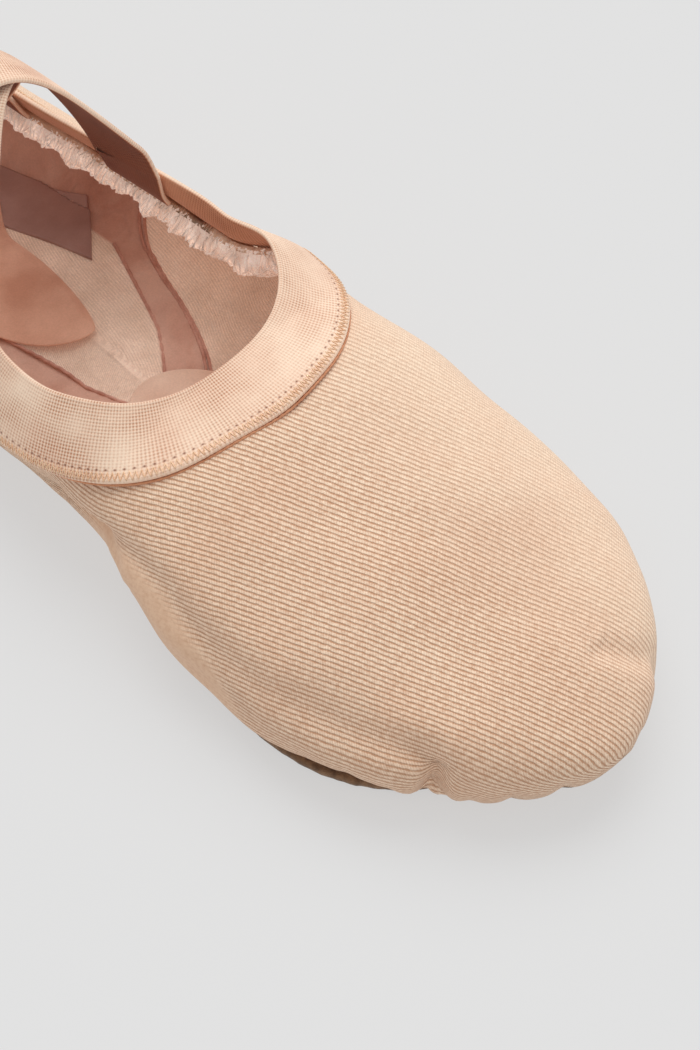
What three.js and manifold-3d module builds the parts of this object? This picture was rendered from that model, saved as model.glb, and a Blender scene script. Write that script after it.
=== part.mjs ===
// A split-sole canvas ballet slipper with a wide elastic collar and two crossed elastic straps.
// Millimetres. +X is the toe, +Y the left side, +Z up. The origin is on the floor, under the
// middle of the shoe's length and width.
import * as THREE from "three";
import { mergeVertices } from "three/addons/utils/BufferGeometryUtils.js";
import Module from "manifold-3d";

// Driving dimensions of the last
const LENGTH = 236;
const BALL_WIDTH = 84;
const VAMP_HEIGHT = 36;
const HEEL_HEIGHT = 52;
const TOE_NOSE_HEIGHT = 13.6;
const HEEL_NOSE_HEIGHT = 18;
const ARCH_LIFT = 6;
const BALL_TO_TOE = 68;
const TOE_BEND = 28;
const HEEL_ROUND = 34;
const HEEL_BEND = 14;

// Thicknesses and the clearance between pieces that touch
const CANVAS_WALL = 1.5;
const ELASTIC_THICKNESS = 1.1;
const SUEDE_THICKNESS = 1.8;
const SOCK_THICKNESS = 1.2;
const CLEARANCE = 0.3;

// Collar: its top edge runs from the throat to the back of the heel
const THROAT_TO_TOE = 104;
const COLLAR_TO_HEEL = 4;
const COLLAR_BAND_WIDTH = 15.5;
const BAND_OVERLAP = 5.5;

// Sole patches and the socks inside, measured along the shoe from the toe tip or the heel
const FORE_SOLE = { fromToe: 19, length: 99, halfWidth: 39.6 };
const HEEL_SOLE = { fromHeel: 7, length: 57, halfWidth: 24 };
const FORE_SOCK = { fromToe: 15, length: 114, halfWidth: 31 };
const SOCKS_APART = 14;
const HEEL_SOCK_HALF_WIDTH = 17.5;
const HEEL_SOCK_FROM_HEEL = 12;
const SOLE_SEAM = 8;

// Straps
const STRAP_WIDTH = 14;
const STRAP_SEWN_LENGTH = 8;
const STRAP_FRONT_FROM_TOE = 152;
const STRAP_REAR_FROM_TOE = 186;
const STRAP_CROSSING_HEIGHT = 70;
const STRAP_CROSSING_GAP = 1.2;
const STRAP_ARCH = { across: 1.9, up: 1.4 };
const STRAP_END_POWER = 6;
const STRAP_PITCH = 0.15;
const STRAP_STANDS = 1.5;
const STRAP_INSET = 0.2;

// Mesh fineness. Crowding draws stations towards the round ends of the last
const STATION_COUNT = 40;
const STATION_CROWDING = 0.82;
const AROUND_COUNT = 40;
const LOOP_COUNT = 72;
const STRAP_STEP_COUNT = 20;
const WALKING_STEP = 1.5;
const PROBE = 0.002;
const MERGE_WITHIN = 1e-4;

// Tools that open the collar: how far they reach each side of the surface, and how many heel
// heights tall they are, so that their faces fan out steeply enough to lift the whole lid off
const CUTTER_REACH = 7;
const CUTTER_TALL = 7;

const COLOURS = {
  canvas: { color: 0xe3bb98, roughness: 0.9 },
  elastic: { color: 0xe0b08b, roughness: 0.8 },
  suede: { color: 0x7c6a55, roughness: 0.95 },
  sock: { color: 0xb98a74, roughness: 0.9 },
};

// Sections of the last, from the heel to the toe. at: share of LENGTH from the heel.
// half: half width, as a share of BALL_WIDTH / 2. flat: how much of that lies flat below.
// lift: height of the floor of the section, as a share of ARCH_LIFT. side: height of the
// widest line, as a share of VAMP_HEIGHT. crown: height of the closed form, as a share of
// HEEL_HEIGHT at the heel and of VAMP_HEIGHT from the throat on. power: how square it is above.
const SECTIONS = [
  { at: 0.0, half: 0.67, flat: 0.7, lift: 0.0, side: 0.5, crown: 1.27, power: 1.75 },
  { at: 0.06, half: 0.68, flat: 0.72, lift: 0.0, side: 0.49, crown: 1.22, power: 1.7 },
  { at: 0.13, half: 0.7, flat: 0.74, lift: 0.0, side: 0.48, crown: 1.045, power: 1.62 },
  { at: 0.22, half: 0.745, flat: 0.74, lift: 0.1, side: 0.5, crown: 1.03, power: 1.6 },
  { at: 0.31, half: 0.8, flat: 0.7, lift: 0.75, side: 0.49, crown: 1.08, power: 1.7 },
  { at: 0.4, half: 0.84, flat: 0.66, lift: 1.0, side: 0.45, crown: 1.18, power: 1.85 },
  { at: 0.48, half: 0.87, flat: 0.63, lift: 0.55, side: 0.45, crown: 1.19, power: 2.0 },
  { at: 0.56, half: 0.905, flat: 0.65, lift: 0.0, side: 0.48, crown: 1.03, power: 2.05 },
  { at: 0.66, half: 0.97, flat: 0.77, lift: 0.0, side: 0.4, crown: 0.995, power: 2.15 },
  { at: 0.79, half: 1.0, flat: 0.87, lift: 0.0, side: 0.33, crown: 0.86, power: 2.15 },
  { at: 0.894, half: 1.015, flat: 0.8, lift: 0.0, side: 0.4, crown: 0.717, power: 2.15 },
  { at: 1.0, half: 1.015, flat: 0.76, lift: 0.0, side: 0.42, crown: 0.62, power: 2.15 },
];
const CROWN_BLEND = { heel: 0.1, throat: 0.56 };
const UNDERSIDE_POWER = 2.8;
const TOE_PLAN = { inner: 2.05, outer: 1.7 };
const HEEL_PLAN = { inner: 2.3, outer: 2.3 };
const END_PROFILE = 2.2;

// The opening seen from above. along: share of its length from the throat to the heel.
// half: half its width, as a share of BALL_WIDTH / 2.
const OPENING = [
  { along: 0.0, half: 0.0 },
  { along: 0.016, half: 0.286 },
  { along: 0.0625, half: 0.5 },
  { along: 0.14, half: 0.635 },
  { along: 0.242, half: 0.65 },
  { along: 0.328, half: 0.585 },
  { along: 0.477, half: 0.462 },
  { along: 0.625, half: 0.39 },
  { along: 0.789, half: 0.373 },
  { along: 0.867, half: 0.372 },
  { along: 0.922, half: 0.345 },
  { along: 0.957, half: 0.286 },
  { along: 0.984, half: 0.19 },
  { along: 1.0, half: 0.0 },
];

// The left wall stands almost upright below the collar. It is pulled in a little at its top edge
// and more below it, all along from one x to another, less and less beyond them
const WALL_PULL = { top: 2.2, below: 5.6 };
const WALL_UPRIGHT = { front: -14, back: -66, frontFade: 14, backFade: 34 };

// Where the patches and socks are widest, as a share of their length from the toe or the heel,
// and how square their ends are
const FORE_WIDEST = 0.385;
const FORE_CORNER = { front: 2.2, back: 1.85 };
const HEEL_WIDEST = 0.45;
const HEEL_CORNER = { front: 2.1, back: 2.3 };
const OUTLINE_COUNT = 44;

const HALF = LENGTH / 2;
const SOLE_TOP = SUEDE_THICKNESS + CLEARANCE;

// The heel sock runs forward until it is SOCKS_APART behind the forefoot sock
const HEEL_SOCK = {
  fromHeel: HEEL_SOCK_FROM_HEEL,
  length: LENGTH - HEEL_SOCK_FROM_HEEL - FORE_SOCK.fromToe - FORE_SOCK.length - SOCKS_APART,
  halfWidth: HEEL_SOCK_HALF_WIDTH,
};

const wasm = await Module();
wasm.setup();

// Reads a table of rows with a smooth curve that never overshoots its rows
function readTable(rows, key, column, at) {
  const last = rows.length - 1;
  const x = THREE.MathUtils.clamp(at, rows[0][key], rows[last][key]);
  let i = 0;
  while (i < last - 1 && x > rows[i + 1][key]) i += 1;
  const slope = (k) => (rows[k + 1][column] - rows[k][column]) / (rows[k + 1][key] - rows[k][key]);
  const tangent = (k) => {
    if (k === 0) return slope(0);
    if (k === last) return slope(last - 1);
    const [a, b] = [slope(k - 1), slope(k)];
    return a * b <= 0 ? 0 : (2 * a * b) / (a + b);
  };
  const span = rows[i + 1][key] - rows[i][key];
  const u = (x - rows[i][key]) / span;
  const [u2, u3] = [u * u, u * u * u];
  return (
    (2 * u3 - 3 * u2 + 1) * rows[i][column] +
    (u3 - 2 * u2 + u) * span * tangent(i) +
    (3 * u2 - 2 * u3) * rows[i + 1][column] +
    (u3 - u2) * span * tangent(i + 1)
  );
}

// Rises from 0 to 1 over a length, as a rounded end does
function roundedEnd(distance, length, inner, outer) {
  const u = THREE.MathUtils.clamp(1 - distance / length, 0, 1);
  return Math.pow(Math.max(0, 1 - Math.pow(u, inner)), 1 / outer);
}

const signedPower = (value, power) => Math.sign(value) * Math.pow(Math.abs(value), power);

// The cross-section of the last at a share of its length
function section(at) {
  const fromHeel = at * LENGTH;
  const fromToe = LENGTH - fromHeel;
  const column = (name) => readTable(SECTIONS, "at", name, at);
  const toePlan = roundedEnd(fromToe, BALL_TO_TOE, TOE_PLAN.inner, TOE_PLAN.outer);
  const heelPlan = roundedEnd(fromHeel, HEEL_ROUND, HEEL_PLAN.inner, HEEL_PLAN.outer);
  const atToe = at > 0.5;
  const end = atToe
    ? { height: TOE_NOSE_HEIGHT, rise: roundedEnd(fromToe, TOE_BEND, END_PROFILE, END_PROFILE) }
    : { height: HEEL_NOSE_HEIGHT, rise: roundedEnd(fromHeel, HEEL_BEND, END_PROFILE, END_PROFILE) };
  const fromNose = (value) => THREE.MathUtils.lerp(end.height, value, end.rise);
  const blend = (at - CROWN_BLEND.heel) / (CROWN_BLEND.throat - CROWN_BLEND.heel);
  const scale = THREE.MathUtils.lerp(HEEL_HEIGHT, VAMP_HEIGHT, THREE.MathUtils.clamp(blend, 0, 1));
  return {
    x: fromHeel - HALF,
    half: (column("half") * BALL_WIDTH * toePlan * heelPlan) / 2,
    floor: fromNose(SOLE_TOP + column("lift") * ARCH_LIFT),
    side: fromNose(column("side") * VAMP_HEIGHT),
    crown: fromNose(column("crown") * scale),
    flat: column("flat"),
    power: column("power"),
  };
}

// How far a point of the left wall is pulled in
function pulledIn(s, y, z) {
  const along = (HALF - THROAT_TO_TOE - s.x) / (LENGTH - THROAT_TO_TOE - COLLAR_TO_HEEL);
  const opening = (readTable(OPENING, "along", "half", along) * BALL_WIDTH) / 2;
  const inner = Math.pow(Math.min(1, opening / Math.max(s.half, MERGE_WITHIN)), s.power);
  const edge = s.side + (s.crown - s.side) * Math.pow(1 - inner, 1 / s.power);
  const { front, back, frontFade, backFade } = WALL_UPRIGHT;
  const behindThroat = THREE.MathUtils.smoothstep(-s.x, -front - frontFade, -front);
  const beforeHeel = 1 - THREE.MathUtils.smoothstep(-s.x, -back, -back + backFade);
  const down = Math.min(1, (edge - z) / Math.max(edge - s.side, MERGE_WITHIN));
  const fade = behindThroat * beforeHeel;
  if (down < 0) {
    const nearEdge = Math.pow(Math.min(1, y / Math.max(opening, MERGE_WITHIN)), 2);
    return fade * nearEdge * (WALL_PULL.top + WALL_PULL.below * Math.PI * down);
  }
  const top = WALL_PULL.top * Math.pow(1 - down * down, 2);
  return fade * (top + WALL_PULL.below * Math.sin(Math.PI * down) * (1 - Math.pow(down, 3)));
}

// How far along the last: run goes from 0 at the heel to 1 at the toe, slowly near both ends
const shareOf = (run) => (1 - Math.cos(Math.PI * run)) / 2;
const runOf = (share) => Math.acos(1 - 2 * share) / Math.PI;

// A point on the last. angle: 0 is the right side, PI / 2 the crown, PI the left side
function onLast(run, angle) {
  const s = section(shareOf(THREE.MathUtils.clamp(run, 0, 1)));
  const [c, v] = [Math.cos(angle), Math.sin(angle)];
  const power = v >= 0 ? s.power : UNDERSIDE_POWER;
  const y = -s.half * signedPower(c, 2 / power);
  const rise = signedPower(v, 2 / power);
  if (v >= 0) {
    const z = s.side + (s.crown - s.side) * rise;
    return new THREE.Vector3(s.x, y > 0 ? y - pulledIn(s, y, z) : y, z);
  }
  const depth = Math.pow(1 - Math.pow(s.flat, UNDERSIDE_POWER), -1 / UNDERSIDE_POWER);
  return new THREE.Vector3(s.x, y, Math.max(s.floor, s.side + (s.side - s.floor) * depth * rise));
}

// How a point on the last moves with each of its two coordinates
function directions(run, angle) {
  const r = THREE.MathUtils.clamp(run, PROBE, 1 - PROBE);
  const alongRun = onLast(r + PROBE, angle).sub(onLast(r - PROBE, angle));
  const around = onLast(r, angle + PROBE).sub(onLast(r, angle - PROBE));
  return { alongRun: alongRun.divideScalar(2 * PROBE), around: around.divideScalar(2 * PROBE) };
}

// The outward normal of the last
function normalAt(run, angle) {
  const { alongRun, around } = directions(run, angle);
  return alongRun.cross(around).normalize();
}

// A point on the last grown outwards, or shrunk if grow is negative
function grown(run, angle, grow) {
  return onLast(run, angle).addScaledVector(normalAt(run, angle), grow);
}

// Joins rings of points, and two end points, into one closed surface
function closedLoft(rings, first, last) {
  const points = [first, ...rings.flat(), last];
  const n = rings[0].length;
  const index = [];
  const at = (ring, k) => 1 + ring * n + (k % n);
  for (let k = 0; k < n; k += 1) {
    index.push(0, at(0, k + 1), at(0, k));
    index.push(points.length - 1, at(rings.length - 1, k), at(rings.length - 1, k + 1));
    for (let r = 0; r < rings.length - 1; r += 1) {
      index.push(at(r, k), at(r, k + 1), at(r + 1, k));
      index.push(at(r, k + 1), at(r + 1, k + 1), at(r + 1, k));
    }
  }
  const geometry = new THREE.BufferGeometry().setFromPoints(points);
  geometry.setIndex(index);
  return geometry;
}

// A closed three.js geometry as a solid, turned the right way out
function solid(geometry) {
  const bare = geometry.clone();
  bare.deleteAttribute("normal");
  bare.deleteAttribute("uv");
  const merged = mergeVertices(bare, MERGE_WITHIN);
  const vertProperties = new Float32Array(merged.attributes.position.array);
  const build = (triVerts) => {
    const mesh = new wasm.Mesh({ numProp: 3, vertProperties, triVerts });
    return new wasm.Manifold(mesh);
  };
  const triangles = new Uint32Array(merged.index.array);
  const made = build(triangles);
  if (made.volume() >= 0) return made;
  return build(triangles.map((_, i) => triangles[i - (i % 3) + [0, 2, 1][i % 3]]));
}

// A solid back as a three.js geometry
function geometryOf(made) {
  const mesh = made.getMesh();
  const geometry = new THREE.BufferGeometry();
  geometry.setAttribute("position", new THREE.BufferAttribute(mesh.vertProperties, 3));
  geometry.setIndex(new THREE.BufferAttribute(mesh.triVerts, 1));
  geometry.computeVertexNormals();
  return geometry;
}

// The whole last as a closed solid, grown or shrunk; stations crowd towards its round ends
function lastSolid(grow) {
  const rings = [];
  for (let i = 1; i < STATION_COUNT; i += 1) {
    const even = i / STATION_COUNT;
    const run = runOf(THREE.MathUtils.lerp(even, shareOf(even), STATION_CROWDING));
    const ring = [];
    for (let k = 0; k < AROUND_COUNT; k += 1) {
      const angle = ((k + 0.5) / AROUND_COUNT) * 2 * Math.PI;
      ring.push(grown(run, angle, grow));
    }
    rings.push(ring);
  }
  const heel = new THREE.Vector3(-HALF - grow, 0, HEEL_NOSE_HEIGHT);
  const toe = new THREE.Vector3(HALF + grow, 0, TOE_NOSE_HEIGHT);
  return solid(closedLoft(rings, heel, toe));
}

// The place on the upper half of the last at a share of its length and a width y
function placeAt(at, y) {
  const s = section(at);
  const share = Math.min(1, Math.abs(y) / s.half);
  const turned = Math.asin(Math.pow(share, s.power / 2));
  return { run: runOf(at), angle: Math.PI / 2 + Math.sign(y) * turned };
}

// The collar's top edge as places on the last, all the way round from the throat
function collarPlaces() {
  const front = HALF - THROAT_TO_TOE;
  const back = -HALF + COLLAR_TO_HEEL;
  const corner = (row, side) => {
    const x = THREE.MathUtils.lerp(front, back, row.along);
    return new THREE.Vector3(x, (side * row.half * BALL_WIDTH) / 2, 0);
  };
  const left = OPENING.map((row) => corner(row, 1));
  const right = OPENING.slice(1, -1).map((row) => corner(row, -1));
  const plan = new THREE.CatmullRomCurve3([...left, ...right.reverse()], true, "centripetal");
  const points = plan.getSpacedPoints(LOOP_COUNT).slice(0, LOOP_COUNT);
  return points.map((p) => placeAt((p.x + HALF) / LENGTH, p.y));
}

// Moves one place on the last by a vector that lies in its surface
function moved(place, step) {
  const { alongRun, around } = directions(place.run, place.angle);
  const [a, b, c] = [alongRun.dot(alongRun), alongRun.dot(around), around.dot(around)];
  const [p, q] = [alongRun.dot(step), around.dot(step)];
  const det = a * c - b * b;
  return { run: place.run + (p * c - q * b) / det, angle: place.angle + (q * a - p * b) / det };
}

// The loop of places at a distance below the collar's top edge, measured on the surface
function collarLoop(distance) {
  let loop = collarPlaces();
  const steps = Math.max(1, Math.ceil(distance / WALKING_STEP));
  for (let s = 0; s < steps; s += 1) {
    const points = loop.map((p) => onLast(p.run, p.angle));
    loop = loop.map((place, i) => {
      const ahead = points[(i + 1) % LOOP_COUNT];
      const behind = points[(i + LOOP_COUNT - 1) % LOOP_COUNT];
      const outward = normalAt(place.run, place.angle);
      const down = ahead.clone().sub(behind).cross(outward).normalize();
      return moved(place, down.multiplyScalar(distance / steps));
    });
  }
  return loop;
}

// A solid that takes away all of the last above a loop of places, cut square to the surface
function cutterAbove(loop) {
  const inner = loop.map((p) => grown(p.run, p.angle, -CUTTER_REACH));
  const outer = loop.map((p) => grown(p.run, p.angle, CUTTER_REACH));
  const middle = new THREE.Box3().setFromPoints(inner).getCenter(new THREE.Vector3());
  const below = new THREE.Vector3(middle.x, 0, HEEL_NOSE_HEIGHT);
  const above = new THREE.Vector3(middle.x, 0, HEEL_HEIGHT * CUTTER_TALL);
  return solid(closedLoft([inner, outer], below, above));
}

// A rounded outline in plan between two x values, widest at a third one
function patchOutline(back, widest, front, halfWidth, corner) {
  const shape = new THREE.Shape();
  for (let i = 0; i < OUTLINE_COUNT; i += 1) {
    const turn = (i / OUTLINE_COUNT) * 2 * Math.PI;
    const c = Math.cos(turn);
    const power = 2 / (c > 0 ? corner.front : corner.back);
    const reach = c > 0 ? front - widest : widest - back;
    const x = widest + reach * signedPower(c, power);
    const y = halfWidth * signedPower(Math.sin(turn), power);
    if (i === 0) shape.moveTo(x, y);
    else shape.lineTo(x, y);
  }
  shape.closePath();
  return shape;
}

// An outline raised into a prism between two heights
function prism(shape, low, high) {
  const geometry = new THREE.ExtrudeGeometry(shape, { depth: high - low, bevelEnabled: false });
  return geometry.translate(0, 0, low);
}

// The outline of a piece of the forefoot; inset draws it smaller all round
function foreOutline(piece, inset) {
  const front = HALF - piece.fromToe;
  const back = front - piece.length;
  const widest = THREE.MathUtils.lerp(front, back, FORE_WIDEST);
  return patchOutline(back + inset, widest, front - inset, piece.halfWidth - inset, FORE_CORNER);
}

// The outline of a piece of the heel; inset draws it smaller all round
function heelOutline(piece, inset) {
  const back = -HALF + piece.fromHeel;
  const front = back + piece.length;
  const widest = THREE.MathUtils.lerp(back, front, HEEL_WIDEST);
  return patchOutline(back + inset, widest, front - inset, piece.halfWidth - inset, HEEL_CORNER);
}

// The canvas upper: a shell of the last, open at the collar and behind each sole patch
function upper() {
  const shell = lastSolid(0).subtract(lastSolid(-CANVAS_WALL));
  const collar = cutterAbove(collarLoop(COLLAR_BAND_WIDTH - BAND_OVERLAP));
  const depth = SOLE_TOP + CANVAS_WALL + ARCH_LIFT;
  const fore = solid(prism(foreOutline(FORE_SOLE, SOLE_SEAM), 0, depth));
  const heel = solid(prism(heelOutline(HEEL_SOLE, SOLE_SEAM), 0, depth));
  return geometryOf(shell.subtract(collar).subtract(fore).subtract(heel));
}

// The elastic collar: a band laid on the canvas, standing above its edge
function collarBand() {
  const inside = lastSolid(CLEARANCE);
  const outside = lastSolid(CLEARANCE + ELASTIC_THICKNESS);
  const below = cutterAbove(collarLoop(COLLAR_BAND_WIDTH));
  const opening = cutterAbove(collarLoop(0));
  return geometryOf(outside.subtract(inside).intersect(below).subtract(opening));
}

// A sock that follows the floor inside the shoe, cut below the last's widest line
function sock(outline) {
  const gap = CANVAS_WALL + CLEARANCE;
  const layer = lastSolid(-gap).subtract(lastSolid(-gap - SOCK_THICKNESS));
  return geometryOf(layer.intersect(solid(prism(outline, 0, VAMP_HEIGHT / 2))));
}

// A row of places across a strap where it leaves the collar, at a distance below the top edge
function acrossCollar(fromToe, side, distance) {
  const loop = collarLoop(distance);
  const x = HALF - fromToe;
  const points = loop.map((p) => onLast(p.run, p.angle));
  const onSide = points.map((p, i) => ({ i, off: p.y * side > 0 ? Math.abs(p.x - x) : Infinity }));
  const nearest = onSide.reduce((best, p) => (p.off < best.off ? p : best)).i;
  const ahead = points[(nearest + side + LOOP_COUNT) % LOOP_COUNT];
  const forward = points[nearest].clone().sub(ahead).normalize();
  const centre = moved(loop[nearest], forward.clone().multiplyScalar(x - points[nearest].x));
  return [1, 0, -1].map((w) => moved(centre, forward.clone().multiplyScalar((w * STRAP_WIDTH) / 2)));
}

// A ring of a strap that lies against the inside of the collar
function sewnRing(fromToe, side, distance) {
  const row = acrossCollar(fromToe, side, distance);
  const outer = row.map((p) => grown(p.run, p.angle, -STRAP_INSET));
  const inner = row.map((p) => grown(p.run, p.angle, -STRAP_INSET - ELASTIC_THICKNESS));
  return [...outer, ...inner.reverse()];
}

function ringCentre(ring) {
  const sum = ring.reduce((total, p) => total.add(p), new THREE.Vector3());
  return sum.divideScalar(ring.length);
}

// The line both straps follow over the opening, as if it were one arch: from the ring centre at
// one end to the ring centre at the other, in even turns
function archLine(start, finish) {
  const width = (Math.abs(start.y) + Math.abs(finish.y)) / 2;
  const foot = (start.z + finish.z) / 2;
  const top = STRAP_CROSSING_HEIGHT - ELASTIC_THICKNESS / 2;
  const line = [];
  for (let i = 0; i <= STRAP_STEP_COUNT; i += 1) {
    const turn = (i / STRAP_STEP_COUNT) * Math.PI;
    const end = i <= STRAP_STEP_COUNT / 2 ? start : finish;
    const out = Math.pow(Math.abs(Math.cos(turn)), 2 / STRAP_ARCH.across);
    const rise = Math.pow(Math.sin(turn), 2 / STRAP_ARCH.up);
    const own = Math.pow(out, STRAP_END_POWER);
    const y = Math.sign(end.y) * out * THREE.MathUtils.lerp(width, Math.abs(end.y), own);
    const z = THREE.MathUtils.lerp(THREE.MathUtils.lerp(foot, end.z, own), top, rise);
    line.push({ point: new THREE.Vector3(0, y, z), rise, own });
  }
  const steps = line.map(({ point }, i) => (i === 0 ? 0 : point.distanceTo(line[i - 1].point)));
  const total = steps.reduce((sum, step) => sum + step, 0);
  const middle = (start.x + finish.x) / 2;
  let along = 0;
  line.forEach(({ point, rise }, i) => {
    along += steps[i];
    point.x = THREE.MathUtils.lerp(start.x, finish.x, along / total);
    point.z += STRAP_PITCH * rise * (point.x - middle);
  });
  return line;
}

// One strap, from the front of one side up over the opening to the back of the other side
function strap(side, lower) {
  const sewn = [STRAP_SEWN_LENGTH, STRAP_SEWN_LENGTH / 2, 0, -STRAP_STANDS];
  const front = sewn.map((d) => sewnRing(STRAP_FRONT_FROM_TOE, side, d));
  const rear = sewn.map((d) => sewnRing(STRAP_REAR_FROM_TOE, -side, d)).reverse();
  const across = (ring) => ring[0].clone().sub(ring[2]).normalize();
  const [startWide, finishWide] = [across(front[3]), across(rear[0])];
  const line = archLine(ringCentre(front[3]), ringCentre(rear[0]));
  const free = line.slice(1, -1).map(({ point, rise, own }, k) => {
    const tangent = line[k + 2].point.clone().sub(line[k].point).normalize();
    const wide = new THREE.Vector3(1, 0, STRAP_PITCH * rise);
    wide.lerp(k < STRAP_STEP_COUNT / 2 ? startWide : finishWide, own);
    wide.addScaledVector(tangent, -wide.dot(tangent)).setLength(STRAP_WIDTH / 2);
    const outward = wide.clone().cross(tangent).setLength(-side);
    const centre = point.clone().addScaledVector(outward, -lower * (1 - own));
    const corner = (w, t) => {
      const off = (t * ELASTIC_THICKNESS) / 2;
      return centre.clone().addScaledVector(wide, w).addScaledVector(outward, off);
    };
    return [corner(1, 1), corner(0, 1), corner(-1, 1), corner(-1, -1), corner(0, -1), corner(1, -1)];
  });
  const rings = [...front, ...free, ...rear];
  const ends = [ringCentre(rings[0]), ringCentre(rings[rings.length - 1])];
  return geometryOf(solid(closedLoft(rings, ends[0], ends[1])));
}

function piece(name, geometry, finish) {
  const material = new THREE.MeshStandardMaterial({ ...COLOURS[finish], metalness: 0 });
  const mesh = new THREE.Mesh(geometry, material);
  mesh.name = name;
  return mesh;
}

const slipper = new THREE.Group();
slipper.add(
  piece("upper", upper(), "canvas"),
  piece("forefoot_sole", prism(foreOutline(FORE_SOLE, 0), 0, SUEDE_THICKNESS), "suede"),
  piece("heel_sole", prism(heelOutline(HEEL_SOLE, 0), 0, SUEDE_THICKNESS), "suede"),
  piece("forefoot_sock", sock(foreOutline(FORE_SOCK, 0)), "sock"),
  piece("heel_sock", sock(heelOutline(HEEL_SOCK, 0)), "sock"),
  piece("collar_band", collarBand(), "elastic"),
  piece("strap_over", strap(1, 0), "elastic"),
  piece("strap_under", strap(-1, ELASTIC_THICKNESS + STRAP_CROSSING_GAP), "elastic"),
);

export default slipper;
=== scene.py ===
# %% [markdown]
# # A canvas ballet slipper
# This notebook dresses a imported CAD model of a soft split-sole ballet slipper. The slipper is a
# ribbed canvas upper, gathered under two suede patches, with a wide elastic collar and two
# crossed elastic straps. The CAD solids say where everything is. Here each of them is made again
# with the creases, edges, stitches and weave that the real cloth shows. It could all be done by
# sculpting, but each piece is worked out from the same surface that the solids were cut from, so
# that the layers stay a cloth's thickness apart from each other.

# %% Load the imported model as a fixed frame
import math

import bmesh
import bpy
import numpy as np
from mathutils import Matrix, Vector


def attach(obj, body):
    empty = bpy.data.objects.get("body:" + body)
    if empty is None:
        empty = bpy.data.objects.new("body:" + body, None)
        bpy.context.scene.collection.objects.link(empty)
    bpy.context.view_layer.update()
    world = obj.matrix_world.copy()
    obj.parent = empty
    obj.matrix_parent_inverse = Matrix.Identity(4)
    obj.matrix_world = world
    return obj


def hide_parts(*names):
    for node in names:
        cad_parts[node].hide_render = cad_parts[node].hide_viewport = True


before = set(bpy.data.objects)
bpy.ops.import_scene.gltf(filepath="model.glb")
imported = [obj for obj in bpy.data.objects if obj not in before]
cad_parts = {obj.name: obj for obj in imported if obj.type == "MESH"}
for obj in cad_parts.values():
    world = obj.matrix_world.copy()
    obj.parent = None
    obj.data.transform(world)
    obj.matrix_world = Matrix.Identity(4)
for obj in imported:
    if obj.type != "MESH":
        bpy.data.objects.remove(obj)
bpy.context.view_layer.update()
MM = 0.001
print("solids:", sorted(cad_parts))

# %% [markdown]
# ## The camera
# The photograph looks down on the toe from its right side, with a long lens. The camera is made
# first, because everything else is judged through it. It could be placed by eye, but its angles
# are known from fitting the outline of the shoe, so it is worked out from them: it stands back
# from a point inside the vamp, and is then moved sideways so that nothing has to be shifted.

# %% Camera
AZIMUTH = math.radians(44.7)
ELEVATION = math.radians(54.3)
CAMERA_DISTANCE = 0.9
LENS_MM = 163.2
FILM_MM = 36
AIM = Vector((0.058, 0.0, 0.02))
SLIDE_RIGHT, SLIDE_UP = -0.008, 0.0045


def make_camera():
    back = Vector((math.sin(AZIMUTH) * math.cos(ELEVATION),
                   -math.cos(AZIMUTH) * math.cos(ELEVATION),
                   math.sin(ELEVATION)))
    right = Vector((math.cos(AZIMUTH), math.sin(AZIMUTH), 0))
    up = back.cross(right)
    centre = AIM + right * SLIDE_RIGHT + up * SLIDE_UP
    data = bpy.data.cameras.new("camera")
    data.lens = LENS_MM
    data.sensor_fit = "VERTICAL"
    data.sensor_height = FILM_MM
    data.clip_end = 20
    made = bpy.data.objects.new("camera", data)
    bpy.context.scene.collection.objects.link(made)
    turn = Matrix((right, up, back)).transposed().to_4x4()
    made.matrix_world = Matrix.Translation(centre + back * CAMERA_DISTANCE) @ turn
    return made


bpy.context.scene.camera = make_camera()
print("camera at", tuple(round(v, 3) for v in bpy.context.scene.camera.matrix_world.translation))

# %% [markdown]
# ## The last
# A shoemaker pulls cloth over a last, a solid foot-shaped block. The CAD model has one too: a
# surface that gives a point for each *run* (how far from heel to toe) and *angle* (how far round
# the section). The same sections are written here, in millimetres, so that every layer of cloth
# can be laid on the last at its own distance.

# %% Sections of the last
LENGTH, BALL_WIDTH, VAMP_HEIGHT, HEEL_HEIGHT = 236.0, 84.0, 36.0, 52.0
TOE_NOSE_HEIGHT, HEEL_NOSE_HEIGHT = 13.6, 18.0
ARCH_LIFT, SOLE_TOP = 6.0, 2.1
BALL_TO_TOE, TOE_BEND, HEEL_ROUND, HEEL_BEND = 68.0, 28.0, 34.0, 14.0
HALF = LENGTH / 2
UNDERSIDE_POWER = 2.8
TOE_PLAN, HEEL_PLAN, END_PROFILE = (2.05, 1.7), (2.3, 2.3), (2.2, 2.2)
CROWN_BLEND = (0.1, 0.56)
THROAT_TO_TOE, COLLAR_TO_HEEL = 104.0, 4.0
WALL_PULL, WALL_TOP_PULL = 5.6, 2.2
WALL_UPRIGHT, WALL_FADES = (-14.0, -66.0), (14.0, 34.0)

# The opening seen from above: share of its length from the throat, half its width
OPENING = np.array([
    (0.0, 0.0), (0.016, 0.286), (0.0625, 0.5), (0.14, 0.635), (0.242, 0.65), (0.328, 0.585),
    (0.477, 0.462), (0.625, 0.39), (0.789, 0.373), (0.867, 0.372), (0.922, 0.345),
    (0.957, 0.286), (0.984, 0.19), (1.0, 0.0),
])

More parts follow.
